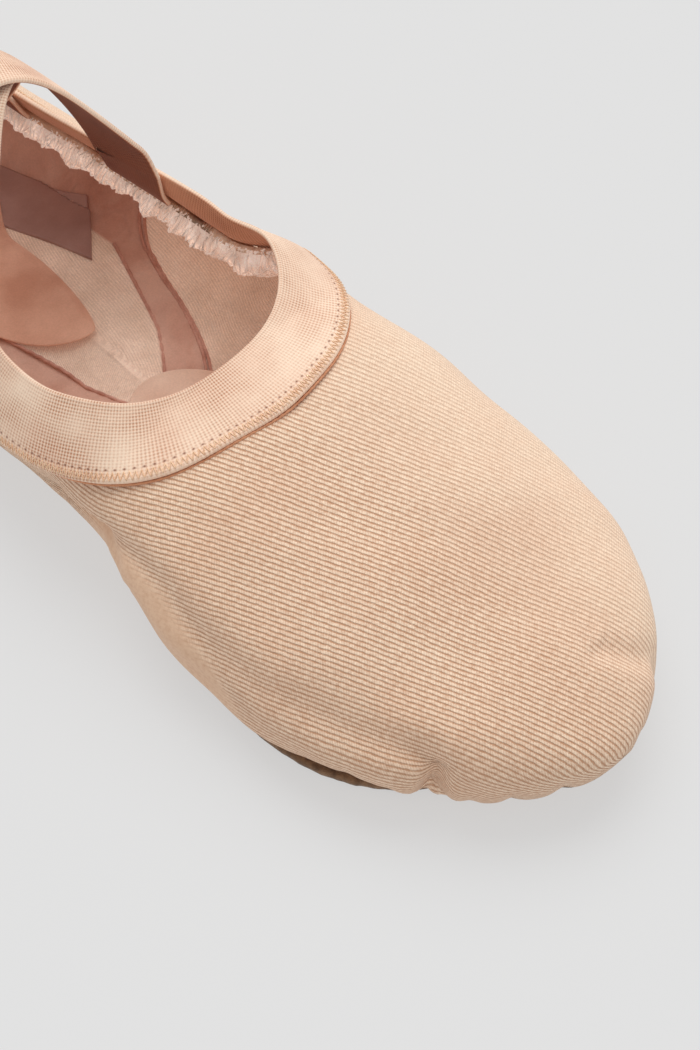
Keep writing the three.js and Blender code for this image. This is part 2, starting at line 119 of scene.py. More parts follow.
COLUMNS = ("at", "half", "flat", "lift", "side", "crown", "power")
SECTIONS = np.array([
    (0.0, 0.67, 0.7, 0.0, 0.5, 1.27, 1.75),
    (0.06, 0.68, 0.72, 0.0, 0.49, 1.22, 1.7),
    (0.13, 0.7, 0.74, 0.0, 0.48, 1.045, 1.62),
    (0.22, 0.745, 0.74, 0.1, 0.5, 1.03, 1.6),
    (0.31, 0.8, 0.7, 0.75, 0.49, 1.08, 1.7),
    (0.4, 0.84, 0.66, 1.0, 0.45, 1.18, 1.85),
    (0.48, 0.87, 0.63, 0.55, 0.45, 1.19, 2.0),
    (0.56, 0.905, 0.65, 0.0, 0.48, 1.03, 2.05),
    (0.66, 0.97, 0.77, 0.0, 0.4, 0.995, 2.15),
    (0.79, 1.0, 0.87, 0.0, 0.33, 0.86, 2.15),
    (0.894, 1.015, 0.8, 0.0, 0.4, 0.717, 2.15),
    (1.0, 1.015, 0.76, 0.0, 0.42, 0.62, 2.15),
])
print(len(SECTIONS), "sections along a last that is", LENGTH, "mm long")


# %% Smooth values between the rows of a table
def read_table(x, y, at):
    """A table's value on a smooth curve through its rows that never overshoots them."""
    at = np.clip(at, x[0], x[-1])
    slope = np.diff(y) / np.diff(x)
    a, b = slope[:-1], slope[1:]
    inner = np.where(a * b <= 0, 0, 2 * a * b / np.where(a + b == 0, 1, a + b))
    tangent = np.concatenate([slope[:1], inner, slope[-1:]])
    i = np.clip(np.searchsorted(x, at, side="right") - 1, 0, len(x) - 2)
    span = x[i + 1] - x[i]
    u = (at - x[i]) / span
    return ((2 * u**3 - 3 * u**2 + 1) * y[i] + (u**3 - 2 * u**2 + u) * span * tangent[i]
            + (3 * u**2 - 2 * u**3) * y[i + 1] + (u**3 - u**2) * span * tangent[i + 1])


def read_section(name, at):
    return read_table(SECTIONS[:, 0], SECTIONS[:, COLUMNS.index(name)], at)


print("half width at the waist, as a share of the ball's:", round(float(read_section("half", 0.4)), 2))


# %% The cross-section at each place along the last
def rounded_end(distance, length, powers):
    u = np.clip(1 - distance / length, 0, 1)
    return np.maximum(0, 1 - u ** powers[0]) ** (1 / powers[1])


def section(at):
    """The cross-section of the last at a share of its length."""
    heel, toe = at * LENGTH, LENGTH - at * LENGTH
    plan = rounded_end(toe, BALL_TO_TOE, TOE_PLAN) * rounded_end(heel, HEEL_ROUND, HEEL_PLAN)
    front = at > 0.5
    rise = np.where(front, rounded_end(toe, TOE_BEND, END_PROFILE),
                    rounded_end(heel, HEEL_BEND, END_PROFILE))
    nose = np.where(front, TOE_NOSE_HEIGHT, HEEL_NOSE_HEIGHT)
    blend = np.clip((at - CROWN_BLEND[0]) / (CROWN_BLEND[1] - CROWN_BLEND[0]), 0, 1)
    scale = HEEL_HEIGHT + (VAMP_HEIGHT - HEEL_HEIGHT) * blend
    return {
        "x": heel - HALF,
        "half": read_section("half", at) * BALL_WIDTH * plan / 2,
        "floor": nose + (SOLE_TOP + read_section("lift", at) * ARCH_LIFT - nose) * rise,
        "side": nose + (read_section("side", at) * VAMP_HEIGHT - nose) * rise,
        "crown": nose + (read_section("crown", at) * scale - nose) * rise,
        "flat": read_section("flat", at),
        "power": read_section("power", at),
    }


print("the last is", round(2 * float(section(0.66)["half"]), 1), "mm wide at the ball")


# %% Runs, soft steps and the left wall, pulled upright
def share_of(run):
    """The share of the length at a run; runs are closer together at both ends."""
    return (1 - np.cos(np.pi * run)) / 2


def run_of(share):
    return np.arccos(np.clip(1 - 2 * share, -1, 1)) / np.pi


def signed_power(value, power):
    return np.sign(value) * np.abs(value) ** power


def smooth_step(value, start, end):
    t = np.clip((value - start) / (end - start), 0, 1)
    return t * t * (3 - 2 * t)


def pulled_in(s, y, z):
    """How far a point of the left wall is pulled in, so that the wall stands almost upright."""
    along = (HALF - THROAT_TO_TOE - s["x"]) / (LENGTH - THROAT_TO_TOE - COLLAR_TO_HEEL)
    opening = read_table(OPENING[:, 0], OPENING[:, 1], along) * BALL_WIDTH / 2
    inner = np.minimum(1, opening / np.maximum(s["half"], 1e-4)) ** s["power"]
    top = s["side"] + (s["crown"] - s["side"]) * (1 - inner) ** (1 / s["power"])
    (front, back), (front_fade, back_fade) = WALL_UPRIGHT, WALL_FADES
    fade = (smooth_step(-s["x"], -front - front_fade, -front)
            * (1 - smooth_step(-s["x"], -back, -back + back_fade)))
    down = np.minimum(1, (top - z) / np.maximum(top - s["side"], 1e-4))
    near_edge = np.clip(y / np.maximum(opening, 1e-4), 0, 1) ** 2
    above = (WALL_TOP_PULL + WALL_PULL * np.pi * down) * near_edge
    below = (WALL_TOP_PULL * (1 - down**2) ** 2 + WALL_PULL * np.sin(np.pi * down) * (1 - down**3))
    return fade * np.where(down < 0, above, below)


print("soft step half way:", smooth_step(0.5, 0, 1))


# %% Points, directions and normals on the last
def on_last(run, angle):
    """Points on the last. angle: 0 is the right side, pi / 2 the crown, pi the left side."""
    s = section(share_of(np.clip(run, 0, 1)))
    c, v = np.cos(angle), np.sin(angle)
    power = np.where(v >= 0, s["power"], UNDERSIDE_POWER)
    y = -s["half"] * signed_power(c, 2 / power)
    rise = signed_power(v, 2 / power)
    depth = (1 - s["flat"] ** UNDERSIDE_POWER) ** (-1 / UNDERSIDE_POWER)
    above = s["side"] + (s["crown"] - s["side"]) * rise
    below = np.maximum(s["floor"], s["side"] + (s["side"] - s["floor"]) * depth * rise)
    y = np.where((v > 0) & (y > 0), y - pulled_in(s, y, above), y)
    return np.stack([np.broadcast_to(s["x"], y.shape), y, np.where(v >= 0, above, below)], -1)


PROBE = 0.002


def directions(run, angle):
    """How a point on the last moves with its run and with its angle."""
    r = np.clip(run, PROBE, 1 - PROBE)
    along = (on_last(r + PROBE, angle) - on_last(r - PROBE, angle)) / (2 * PROBE)
    around = (on_last(r, angle + PROBE) - on_last(r, angle - PROBE)) / (2 * PROBE)
    return along, around


def unit(vectors):
    return vectors / np.maximum(np.linalg.norm(vectors, axis=-1, keepdims=True), 1e-12)


def travelled(line):
    """How far along a line each of its points lies."""
    return np.concatenate([[0], np.cumsum(np.linalg.norm(np.diff(line, axis=0), axis=1))])


def normal_at(run, angle):
    along, around = directions(run, angle)
    return unit(np.cross(along, around))


def grown(run, angle, grow):
    """Points at a distance outside the last, or inside it if grow is negative."""
    off = np.asarray(grow, float)[..., None] if np.ndim(grow) else grow
    return on_last(run, angle) + normal_at(run, angle) * off


print("crown of the last at its middle:", on_last(np.array([0.5]), np.array([np.pi / 2]))[0].round(1))

# %% [markdown]
# ## Meshes from arrays
# Each piece is a mesh of many points that numpy works out at once. One helper makes the object,
# turns its faces outwards and gives it its material and body; one numbers the faces of a
# grid; one lays many threads as thin tubes in a single mesh. The place of each point in the cloth
# is kept as an attribute, so that the weave follows the cloth and not the world.

# %% Mesh helpers
CLOTH = "cloth"
CLOTH_JUMP = 20.0


def corner_values(mesh, cloth):
    """The cloth's numbers for each corner of each face, even where their count starts again."""
    point = np.empty(len(mesh.loops), np.int32)
    mesh.loops.foreach_get("vertex_index", point)
    total = np.empty(len(mesh.polygons), np.int32)
    mesh.polygons.foreach_get("loop_total", total)
    start = np.concatenate([[0], np.cumsum(total)[:-1]])
    value = np.asarray(cloth, np.float32)[point]
    highest = np.repeat(np.maximum.reduceat(value, start, axis=0), total, axis=0)
    return np.where(highest - value > CLOTH_JUMP, highest, value).astype(np.float32)


def make_piece(name, points, faces, material, cloth=None, replaces=()):
    """One object from points in millimetres. cloth: three numbers a point for the material."""
    mesh = bpy.data.meshes.new(name)
    mesh.from_pydata((np.asarray(points, float) * MM).tolist(), [], faces)
    mesh.validate()
    shape = bmesh.new()
    shape.from_mesh(mesh)
    bmesh.ops.recalc_face_normals(shape, faces=shape.faces)
    shape.to_mesh(mesh)
    shape.free()
    mesh.polygons.foreach_set("use_smooth", np.ones(len(mesh.polygons), bool))
    if cloth is not None:
        # Kept at the corners, because the count of ribs jumps where it starts again
        attribute = mesh.attributes.new(CLOTH, "FLOAT_VECTOR", "CORNER")
        attribute.data.foreach_set("vector", corner_values(mesh, cloth).ravel())
    mesh.materials.append(material)
    piece = bpy.data.objects.new(name, mesh)
    bpy.context.scene.collection.objects.link(piece)
    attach(piece, "root")
    if replaces:
        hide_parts(*replaces)
    triangles = sum(len(p.vertices) - 2 for p in mesh.polygons)
    print(f"{name}: {len(mesh.vertices)} points, {triangles} triangles")
    return piece


# %% Faces of grids and threads
def grid_faces(rows, columns, close_rows=False, close_columns=False):
    """Faces of a grid of points, numbered row by row."""
    i = np.arange(rows if close_rows else rows - 1)[:, None]
    j = np.arange(columns if close_columns else columns - 1)[None, :]
    i2, j2 = (i + 1) % rows, (j + 1) % columns
    quads = np.stack([i * columns + j, i2 * columns + j, i2 * columns + j2, i * columns + j2], -1)
    return quads.reshape(-1, 4)


def thread_tubes(paths, ups, radius, sides=6, closed=False):
    """Many threads at once. paths: threads x steps x 3, ups: a direction away from the cloth."""
    if closed:
        tangent = np.roll(paths, -1, 1) - np.roll(paths, 1, 1)
    else:
        tangent = np.gradient(paths, axis=1)
    tangent = unit(tangent)
    out = unit(ups - tangent * np.sum(ups * tangent, -1, keepdims=True))
    side = np.cross(tangent, out)
    turn = np.arange(sides) / sides * 2 * np.pi
    ring = (out[:, :, None, :] * np.cos(turn)[None, None, :, None]
            + side[:, :, None, :] * np.sin(turn)[None, None, :, None])
    points = paths[:, :, None, :] + ring * np.asarray(radius).reshape(-1, 1, 1, 1)
    count, steps = paths.shape[:2]
    one = grid_faces(steps, sides, close_rows=closed, close_columns=True)[:, ::-1]
    faces = (one[None] + (np.arange(count) * steps * sides)[:, None, None]).reshape(-1, 4).tolist()
    if not closed:
        for k in range(count):
            first = k * steps * sides
            last = first + (steps - 1) * sides
            faces.append([first + j for j in range(sides)])
            faces.append([last + sides - 1 - j for j in range(sides)])
    return points.reshape(-1, 3), faces


print("a grid of 3 by 4 points has", len(grid_faces(3, 4)), "faces")


# %% Soft noise
def soft_noise(points, wavelength, seed, waves=14):
    """A smooth random value from about -1 to 1 at each point, the same in each run."""
    draw = np.random.default_rng(seed)
    aim = unit(draw.normal(size=(waves, points.shape[-1])))
    stretch = draw.uniform(0.7, 1.4, waves) * 2 * np.pi / wavelength
    phase = draw.uniform(0, 2 * np.pi, waves)
    return np.sin(points @ aim.T * stretch + phase).sum(-1) / math.sqrt(waves)


print("soft noise at the origin:", soft_noise(np.zeros((1, 3)), 10, 1).round(2))


# %% [markdown]
# ## Rows of thread as a node group
# Ribbed canvas and woven elastic are both rows of thread with dark furrows between them. The same
# small graph makes one set of rows from a number that counts them: a cosine gives the round top,
# a power narrows the furrow, and a little noise keeps the rows from being perfect. A second
# graph makes the yarn itself uneven: noise that changes from row to row and along each row. Both
# are built once and used by every woven cloth here.

# %% Node helpers
def srgb(red, green, blue):
    """A colour as a screen shows it, 0 to 255, as the linear numbers that shaders use."""
    share = np.array([red, green, blue]) / 255
    linear = np.where(share <= 0.04045, share / 12.92, ((share + 0.055) / 1.055) ** 2.4)
    return (*linear.tolist(), 1.0)


def add_node(tree, kind, inputs=None, **settings):
    """A node with its settings. Each input is given a value, or is linked to a socket."""
    made = tree.nodes.new(kind)
    for name, value in settings.items():
        setattr(made, name, value)
    for key, value in (inputs or {}).items():
        if isinstance(value, bpy.types.NodeSocket):
            tree.links.new(value, made.inputs[key])
        else:
            made.inputs[key].default_value = value
    return made


def calc(tree, operation, *values, clamp=False):
    """One step of arithmetic between numbers and sockets."""
    inputs = dict(enumerate(values))
    return add_node(tree, "ShaderNodeMath", inputs, operation=operation, use_clamp=clamp).outputs[0]


def blend_colours(tree, factor, first, second, kind="MIX"):
    inputs = {0: factor, 6: first, 7: second}
    return add_node(tree, "ShaderNodeMix", inputs, data_type="RGBA", blend_type=kind).outputs[2]


def object_place(tree):
    return add_node(tree, "ShaderNodeTexCoord").outputs["Object"]


def noise_at(tree, place, scale, detail, **more):
    """Noise from 0 to 1, mostly near a half. scale: how many waves there are in a metre."""
    inputs = {"Vector": place, "Scale": scale, "Detail": detail} | more
    return add_node(tree, "ShaderNodeTexNoise", inputs).outputs[0]


def spread(tree, value, low, high, to_low=0.0, to_high=1.0):
    """A value from low to high, brought to the span from to_low to to_high and kept in it."""
    inputs = {"Value": value, "From Min": low, "From Max": high, "To Min": to_low, "To Max": to_high}
    return add_node(tree, "ShaderNodeMapRange", inputs).outputs[0]


print("a pale pink as linear numbers:", [round(v, 2) for v in srgb(230, 198, 173)])


# %% Node groups, and the first of them: rows of thread
def new_group(name, inputs, outputs):
    """A node group with named inputs (name, kind, value) and outputs (name, kind)."""
    tree = bpy.data.node_groups.new(name, "ShaderNodeTree")
    for label, kind, value in inputs:
        socket = tree.interface.new_socket(label, in_out="INPUT", socket_type="NodeSocket" + kind)
        socket.default_value = value
    for label, kind in outputs:
        tree.interface.new_socket(label, in_out="OUTPUT", socket_type="NodeSocket" + kind)
    start = tree.nodes.new("NodeGroupInput").outputs
    end = tree.nodes.new("NodeGroupOutput").inputs
    return tree, start, end


def use_group(tree, group, inputs):
    return add_node(tree, "ShaderNodeGroup", inputs, node_tree=group).outputs


def build_thread_rows():
    tree, start, end = new_group(
        "thread_rows",
        [("Count", "Float", 0.0), ("Waver", "Float", 0.1), ("Waver Scale", "Float", 400.0),
         ("Furrow Sharpness", "Float", 2.0)],
        [("Furrow", "Float")])
    noise = noise_at(tree, object_place(tree), start["Waver Scale"], 2.0)
    off = calc(tree, "MULTIPLY", calc(tree, "SUBTRACT", noise, 0.5), start["Waver"])
    turned = calc(tree, "MULTIPLY", calc(tree, "ADD", start["Count"], off), 2 * math.pi)
    crest = calc(tree, "MULTIPLY_ADD", calc(tree, "COSINE", turned), 0.5, 0.5)
    furrow = calc(tree, "POWER", calc(tree, "SUBTRACT", 1.0, crest), start["Furrow Sharpness"])
    tree.links.new(furrow, end["Furrow"])
    return tree


thread_rows = build_thread_rows()
print("group", thread_rows.name, "has", len(thread_rows.nodes), "nodes")


# %% Group: slubby yarn
def build_slubby_yarn():
    tree, start, end = new_group(
        "slubby_yarn",
        [("Count", "Float", 0.0), ("Along", "Float", 0.0), ("Slub Length", "Float", 2.5)],
        [("Slub", "Float")])
    step = calc(tree, "DIVIDE", start["Along"], start["Slub Length"])
    place = add_node(tree, "ShaderNodeCombineXYZ", {0: start["Count"], 1: step}).outputs[0]
    noise = noise_at(tree, place, 1.0, 3.0, Roughness=0.7)
    tree.links.new(spread(tree, noise, 0.3, 0.7), end["Slub"])
    return tree


slubby_yarn = build_slubby_yarn()
print("group", slubby_yarn.name, "has", len(slubby_yarn.nodes), "nodes")

# %% [markdown]
# ## Uneven dye as a node group
# Cotton never takes dye evenly, and handling leaves soft lighter and redder patches. Two sizes of
# noise are enough: one of a few centimetres that shifts the hue a little, and one of the size of
# a fibre. The group takes a colour and gives it back uneven.

# %% Group: uneven dye
FIBRE_SCALE = 2600.0


def build_uneven_dye():
    tree, start, end = new_group(
        "uneven_dye",
        [("Color", "Color", (0.5, 0.5, 0.5, 1)), ("Patch Color", "Color", (0.5, 0.4, 0.4, 1)),
         ("Patches", "Float", 0.3), ("Patch Scale", "Float", 60.0), ("Fibres", "Float", 0.2)],
        [("Color", "Color"), ("Fibre", "Float")])
    place = object_place(tree)
    patch = noise_at(tree, place, start["Patch Scale"], 4.0)
    amount = calc(tree, "MULTIPLY", spread(tree, patch, 0.35, 0.7), start["Patches"], clamp=True)
    patched = blend_colours(tree, amount, start["Color"], start["Patch Color"])
    fibre = noise_at(tree, place, FIBRE_SCALE, 3.0, Roughness=0.7)
    shade = calc(tree, "MULTIPLY", calc(tree, "SUBTRACT", fibre, 0.5), start["Fibres"])
    level = calc(tree, "MULTIPLY_ADD", shade, 2.0, 1.0)
    grey = add_node(tree, "ShaderNodeCombineColor", {0: level, 1: level, 2: level}).outputs[0]
    tree.links.new(blend_colours(tree, 1.0, patched, grey, "MULTIPLY"), end["Color"])
    tree.links.new(fibre, end["Fibre"])
    return tree


uneven_dye = build_uneven_dye()
print("group", uneven_dye.name, "has", len(uneven_dye.nodes), "nodes")

# %% [markdown]
# ## The cloths
# Each cloth is one material: its rows of thread from the group above, its dye, a matt surface with
# a little sheen from loose fibres, and a bump that is as deep as the real thread, in millimetres.
# Cloth as thin as this also lets some light through, which is painted as a faint glow of its own
# colour where a second layer doesn't stop it. The numbers that the mesh carries are read with an
# Attribute node.

# %% Material helpers
def new_cloth(name, roughness, sheen, specular=0.25):
    material = bpy.data.materials.new(name)
    material.use_nodes = True
    tree = material.node_tree
    shader = tree.nodes["Principled BSDF"]
    shader.inputs["Roughness"].default_value = roughness
    shader.inputs["Specular IOR Level"].default_value = specular
    shader.inputs["Sheen Weight"].default_value = sheen
    shader.inputs["Sheen Roughness"].default_value = 0.5
    return material, tree, shader


def cloth_place(tree):
    """The three numbers that the mesh carries for its cloth."""
    kept = add_node(tree, "ShaderNodeAttribute", attribute_name=CLOTH)
    return add_node(tree, "ShaderNodeSeparateXYZ", {0: kept.outputs["Vector"]}).outputs


def finish_cloth(tree, shader, colour, height_mm, glow=None, glow_strength=0.0):
    """Link the cloth to its shader. glow: light that comes through the thin cloth from outside."""
    if glow is not None:
        tree.links.new(glow, shader.inputs["Emission Color"])
        shader.inputs["Emission Strength"].default_value = glow_strength
    tree.links.new(colour, shader.inputs["Base Color"])
    bump = add_node(tree, "ShaderNodeBump", {"Height": height_mm, "Distance": MM, "Strength": 1.0})
    tree.links.new(bump.outputs[0], shader.inputs["Normal"])


print("each mesh carries its place in the cloth as the attribute", CLOTH)


# %% [markdown]
# ### Ribbed canvas
# The upper is a twill with round ribs a millimetre wide. Furrows part the ribs and their darker
# colour is painted shade; fine slanted stitches cross them, and the yarn is slubby and heathered,
# so no rib is one colour. Towards the far side, where the light falls on the cloth head on, the
# painted furrow shade and the heather specks fade, so that side is painted paler. Displaced
# geometry could carry ribs this fine, but a colour and a bump show the same at this distance. The
# mesh gives the count of ribs, the distance along a rib, and how strongly the ribs show.

# %% Ribbed canvas: its values
RIB_TOP, RIB_PINK = srgb(253, 226, 199), srgb(247, 211, 183)
# The furrow colour is painted shade between the ribs, and also the darker tone of slubs and heather specks
RIB_FURROW_SHADE_AND_TONE, RIB_SMOOTH = srgb(203, 154, 121), srgb(229, 191, 160)
CANVAS_DYE = {"Color": RIB_TOP, "Patch Color": RIB_PINK, "Patches": 0.7, "Patch Scale": 45.0,
              "Fibres": 0.34}
RIB_ROWS = {"Waver": 0.36, "Waver Scale": 600.0, "Furrow Sharpness": 3.0}
STITCH_ROWS = {"Waver": 0.6, "Waver Scale": 900.0, "Furrow Sharpness": 1.5}
STITCH_MM, STITCH_LEAN, STITCH_DARK = 0.52, 0.5, 0.3
RIB_HEIGHT_MM, FUZZ_MM = 0.18, 0.06
# How strongly the furrows are painted with shade, and how much the slubby yarn's own tone shows
FURROW_SHADE, SLUB_DARK = 0.9, 0.24
SLUB_FURROW, FURROW_BASE = 0.7, 0.65
HEATHER, HEATHER_SCALE, HEATHER_BASE = 1.15, 1150.0, 0.1
# Painted light: towards the far side, where the light falls head on, the painted furrow shade and the specks
# fade to this share
LIT_HEAD_ON_FROM_Y, LIT_HEAD_ON_TO_Y, LIT_HEAD_ON_SHADE_LEFT = -0.004, 0.03, 0.36
print("furrows", RIB_HEIGHT_MM, "mm deep, stitches", STITCH_MM, "mm apart")


# %% Ribbed canvas: its graph
def build_canvas():
    material, tree, shader = new_cloth("ribbed_canvas", 0.9, 0.12)
    count, along, shown = cloth_place(tree)
    place = object_place(tree)
    ribs = use_group(tree, thread_rows, {"Count": count} | RIB_ROWS)["Furrow"]
    slub = use_group(tree, slubby_yarn, {"Count": count, "Along": along})["Slub"]
    stitch = calc(tree, "ADD", calc(tree, "MULTIPLY", along, 1 / STITCH_MM),
                  calc(tree, "MULTIPLY", count, STITCH_LEAN))
    stitches = use_group(tree, thread_rows, {"Count": stitch} | STITCH_ROWS)["Furrow"]
    dyed = use_group(tree, uneven_dye, CANVAS_DYE)
    strong = calc(tree, "MULTIPLY_ADD", slub, SLUB_FURROW, FURROW_BASE)
    furrow = calc(tree, "ADD", calc(tree, "MULTIPLY", ribs, strong),
                  calc(tree, "MULTIPLY", stitches, STITCH_DARK), clamp=True)
    deep = calc(tree, "MULTIPLY", furrow, shown)
    smooth = blend_colours(tree, shown, RIB_SMOOTH, dyed["Color"])
    heather = noise_at(tree, place, HEATHER_SCALE, 2.0, Roughness=0.6)
    specks = calc(tree, "MULTIPLY_ADD", heather, HEATHER, HEATHER_BASE - HEATHER / 2)
    # Painted light: the furrows' painted shade and the specks fade towards the far side, where the light
    # falls head on
    far = add_node(tree, "ShaderNodeSeparateXYZ", {"Vector": place}).outputs["Y"]
    head_on_fade = spread(tree, far, LIT_HEAD_ON_FROM_Y, LIT_HEAD_ON_TO_Y, 1.0, LIT_HEAD_ON_SHADE_LEFT)
    furrow_shade_and_specks = calc(tree, "ADD", calc(tree, "MULTIPLY", deep, FURROW_SHADE), specks)
    woven = calc(tree, "MULTIPLY", furrow_shade_and_specks, head_on_fade)
    shade = calc(tree, "MULTIPLY_ADD", calc(tree, "SUBTRACT", 0.5, slub), SLUB_DARK, woven, clamp=True)
    colour = blend_colours(tree, shade, smooth, RIB_FURROW_SHADE_AND_TONE)
    height = calc(tree, "ADD", calc(tree, "MULTIPLY", deep, -RIB_HEIGHT_MM),
                  calc(tree, "MULTIPLY", dyed["Fibre"], FUZZ_MM))
    finish_cloth(tree, shader, colour, height)
    return material


canvas_cloth = build_canvas()
print(canvas_cloth.name, "has", len(canvas_cloth.node_tree.nodes), "nodes")

# %% [markdown]
# ### The inside of the canvas, and the lining
# In front of a curved seam, and in a narrow insert under the arch, the inside shows the bare
# twill; the rest is lined with soft pink cloth, crumpled by the foot. Two meshes could hold the
# two cloths, but they meet along a seam of one wall, so one material blends them. The mesh gives
# the count of ribs and how far each point lies within the lining, in millimetres.

# %% Lining: its values
BLACK = (0, 0, 0, 1)
TWILL_BARE, TWILL_BARE_DARK = srgb(242, 216, 196), srgb(176, 144, 120)
LINING_PINK, LINING_RED = srgb(222, 180, 160), srgb(188, 132, 112)
LIGHT_THROUGH = srgb(255, 240, 234)
TWILL_GLOW, LINED_SHADE = 0.15, 0.8
TWILL_DYE = {"Color": TWILL_BARE, "Patch Color": TWILL_BARE_DARK, "Patches": 0.5, "Patch Scale": 70.0,
             "Fibres": 0.35}
LINING_DYE = {"Color": LINING_PINK, "Patch Color": LINING_RED, "Patches": 0.8, "Patch Scale": 75.0,
              "Fibres": 0.18}
TWILL_ROWS = {"Waver": 0.4, "Waver Scale": 700.0, "Furrow Sharpness": 1.6}
TWILL_FINER, TWILL_DARK, TWILL_HEIGHT_MM = 2.3, 0.25, 0.08
SEAM_SHARPNESS = 1.5
CRUMPLE_MM, CRUMPLE_SCALE, LINING_FUZZ_MM = 2.2, 130.0, 0.05
print("the lining's crumples are at most", CRUMPLE_MM, "mm deep")


# %% Lining: its graph
def build_lining():
    material, tree, shader = new_cloth("lining", 0.92, 0.1)
    count, _, within = cloth_place(tree)
    rows = use_group(tree, thread_rows, {"Count": calc(tree, "MULTIPLY", count, TWILL_FINER)} | TWILL_ROWS)
    bare = use_group(tree, uneven_dye, TWILL_DYE)
    twill = blend_colours(tree, calc(tree, "MULTIPLY", rows["Furrow"], TWILL_DARK), bare["Color"],
                          TWILL_BARE_DARK)
    lined = use_group(tree, uneven_dye, LINING_DYE)
    mask = calc(tree, "MULTIPLY_ADD", within, SEAM_SHARPNESS, 0.5, clamp=True)
    colour = blend_colours(tree, mask, twill, lined["Color"])
    rise = calc(tree, "MULTIPLY", calc(tree, "MULTIPLY", rows["Furrow"], -TWILL_HEIGHT_MM),
                calc(tree, "SUBTRACT", 1.0, mask))
    crumple = noise_at(tree, object_place(tree), CRUMPLE_SCALE, 2.0, Distortion=0.6)
    height = calc(tree, "ADD", calc(tree, "MULTIPLY_ADD", crumple, CRUMPLE_MM, rise),
                  calc(tree, "MULTIPLY", lined["Fibre"], LINING_FUZZ_MM))
    through = blend_colours(tree, 1.0, twill, LIGHT_THROUGH, "MULTIPLY")
    glow = blend_colours(tree, mask, through, blend_colours(tree, LINED_SHADE, lined["Color"], BLACK))
    finish_cloth(tree, shader, colour, height, glow, TWILL_GLOW)
    return material


lining_cloth = build_lining()
print(lining_cloth.name, "has", len(lining_cloth.node_tree.nodes), "nodes")

# %% [markdown]
# ### Woven elastic
# Woven elastic has two sets of rows, one along the band and one across it, with a dark pinhole
# where their furrows cross; where it is stretched more, the gaps open and look darker. A row of
# needle holes runs beside the zigzag. The face that lies inside the shoe is the same weave, painted
# darker and browner as shade, and the collar's inner face also gets a faint painted glow, so the
# third number of the mesh says which face it is: 0 is the outer face, 1 the inner face of the
# collar and 2 the inner face of a strap, which is painted darkest.

# %% Woven elastic: its values
ELASTIC_FACE, ELASTIC_PINK = srgb(254, 227, 202), srgb(242, 202, 176)
# The inside colour is painted shade for the inner faces; the deepest colour is the painted shade of a strap's
# inner face and also the colour of the needle holes
ELASTIC_GAP, ELASTIC_INSIDE_SHADE, ELASTIC_SHADE_AND_HOLES = srgb(201, 147, 113), srgb(206, 150, 118), srgb(142, 88, 66)
ELASTIC_DYE = {"Color": ELASTIC_FACE, "Patch Color": ELASTIC_PINK, "Patches": 0.7, "Patch Scale": 60.0,
               "Fibres": 0.2}
ELASTIC_ROW_MM, ELASTIC_WARP_MM = 0.54, 0.64
WEFT_ROWS = {"Waver": 0.15, "Waver Scale": 800.0, "Furrow Sharpness": 1.8}
WARP_ROWS = WEFT_ROWS | {"Furrow Sharpness": 1.6}
WEFT_DARK, WARP_DARK, PINHOLE_DARK = 0.45, 0.3, 0.7
SLUB_LENGTH_MM, SLUBS_ACROSS_MM = 16.0, 0.12
SLUB_OPEN, SLUB_BASE, GAP_DARK = 0.65, 0.4, 0.85
STRETCH_SCALE, STRETCH_LEAST, STRETCH_MOST = 55.0, 0.45, 1.25
NEEDLE_ROW_MM, NEEDLE_STEP_MM, NEEDLE_HOLE_MM, NEEDLE_DARK = 12.9, 1.25, 0.34, 1.2
WEAVE_HEIGHT_MM, ELASTIC_FUZZ_MM = 0.14, 0.04
# Painted light: a faint glow of the collar's inner face
BAND_GLOW = 0.1
print("threads of the elastic:", ELASTIC_ROW_MM, "mm apart along it,", ELASTIC_WARP_MM, "mm across it")


# %% Woven elastic: its graph
def needle_holes(tree, along, across, side):
    """A mask with one small hole each step of a row beside the zigzag, on the outer faces."""
    from_row = calc(tree, "ABSOLUTE", calc(tree, "SUBTRACT", across, NEEDLE_ROW_MM))
    in_row = calc(tree, "MULTIPLY_ADD", from_row, -1 / NEEDLE_HOLE_MM, 1.0, clamp=True)
    step = calc(tree, "FRACT", calc(tree, "MULTIPLY", along, 1 / NEEDLE_STEP_MM))
    from_hole = calc(tree, "ABSOLUTE", calc(tree, "SUBTRACT", step, 0.5))
    at_hole = calc(tree, "MULTIPLY_ADD", from_hole, -NEEDLE_STEP_MM / NEEDLE_HOLE_MM, 1.0, clamp=True)
    pierced = calc(tree, "MULTIPLY", calc(tree, "MULTIPLY", in_row, at_hole),
                   calc(tree, "SUBTRACT", 1.6, side, clamp=True))
    return calc(tree, "MULTIPLY", pierced, NEEDLE_DARK, clamp=True)


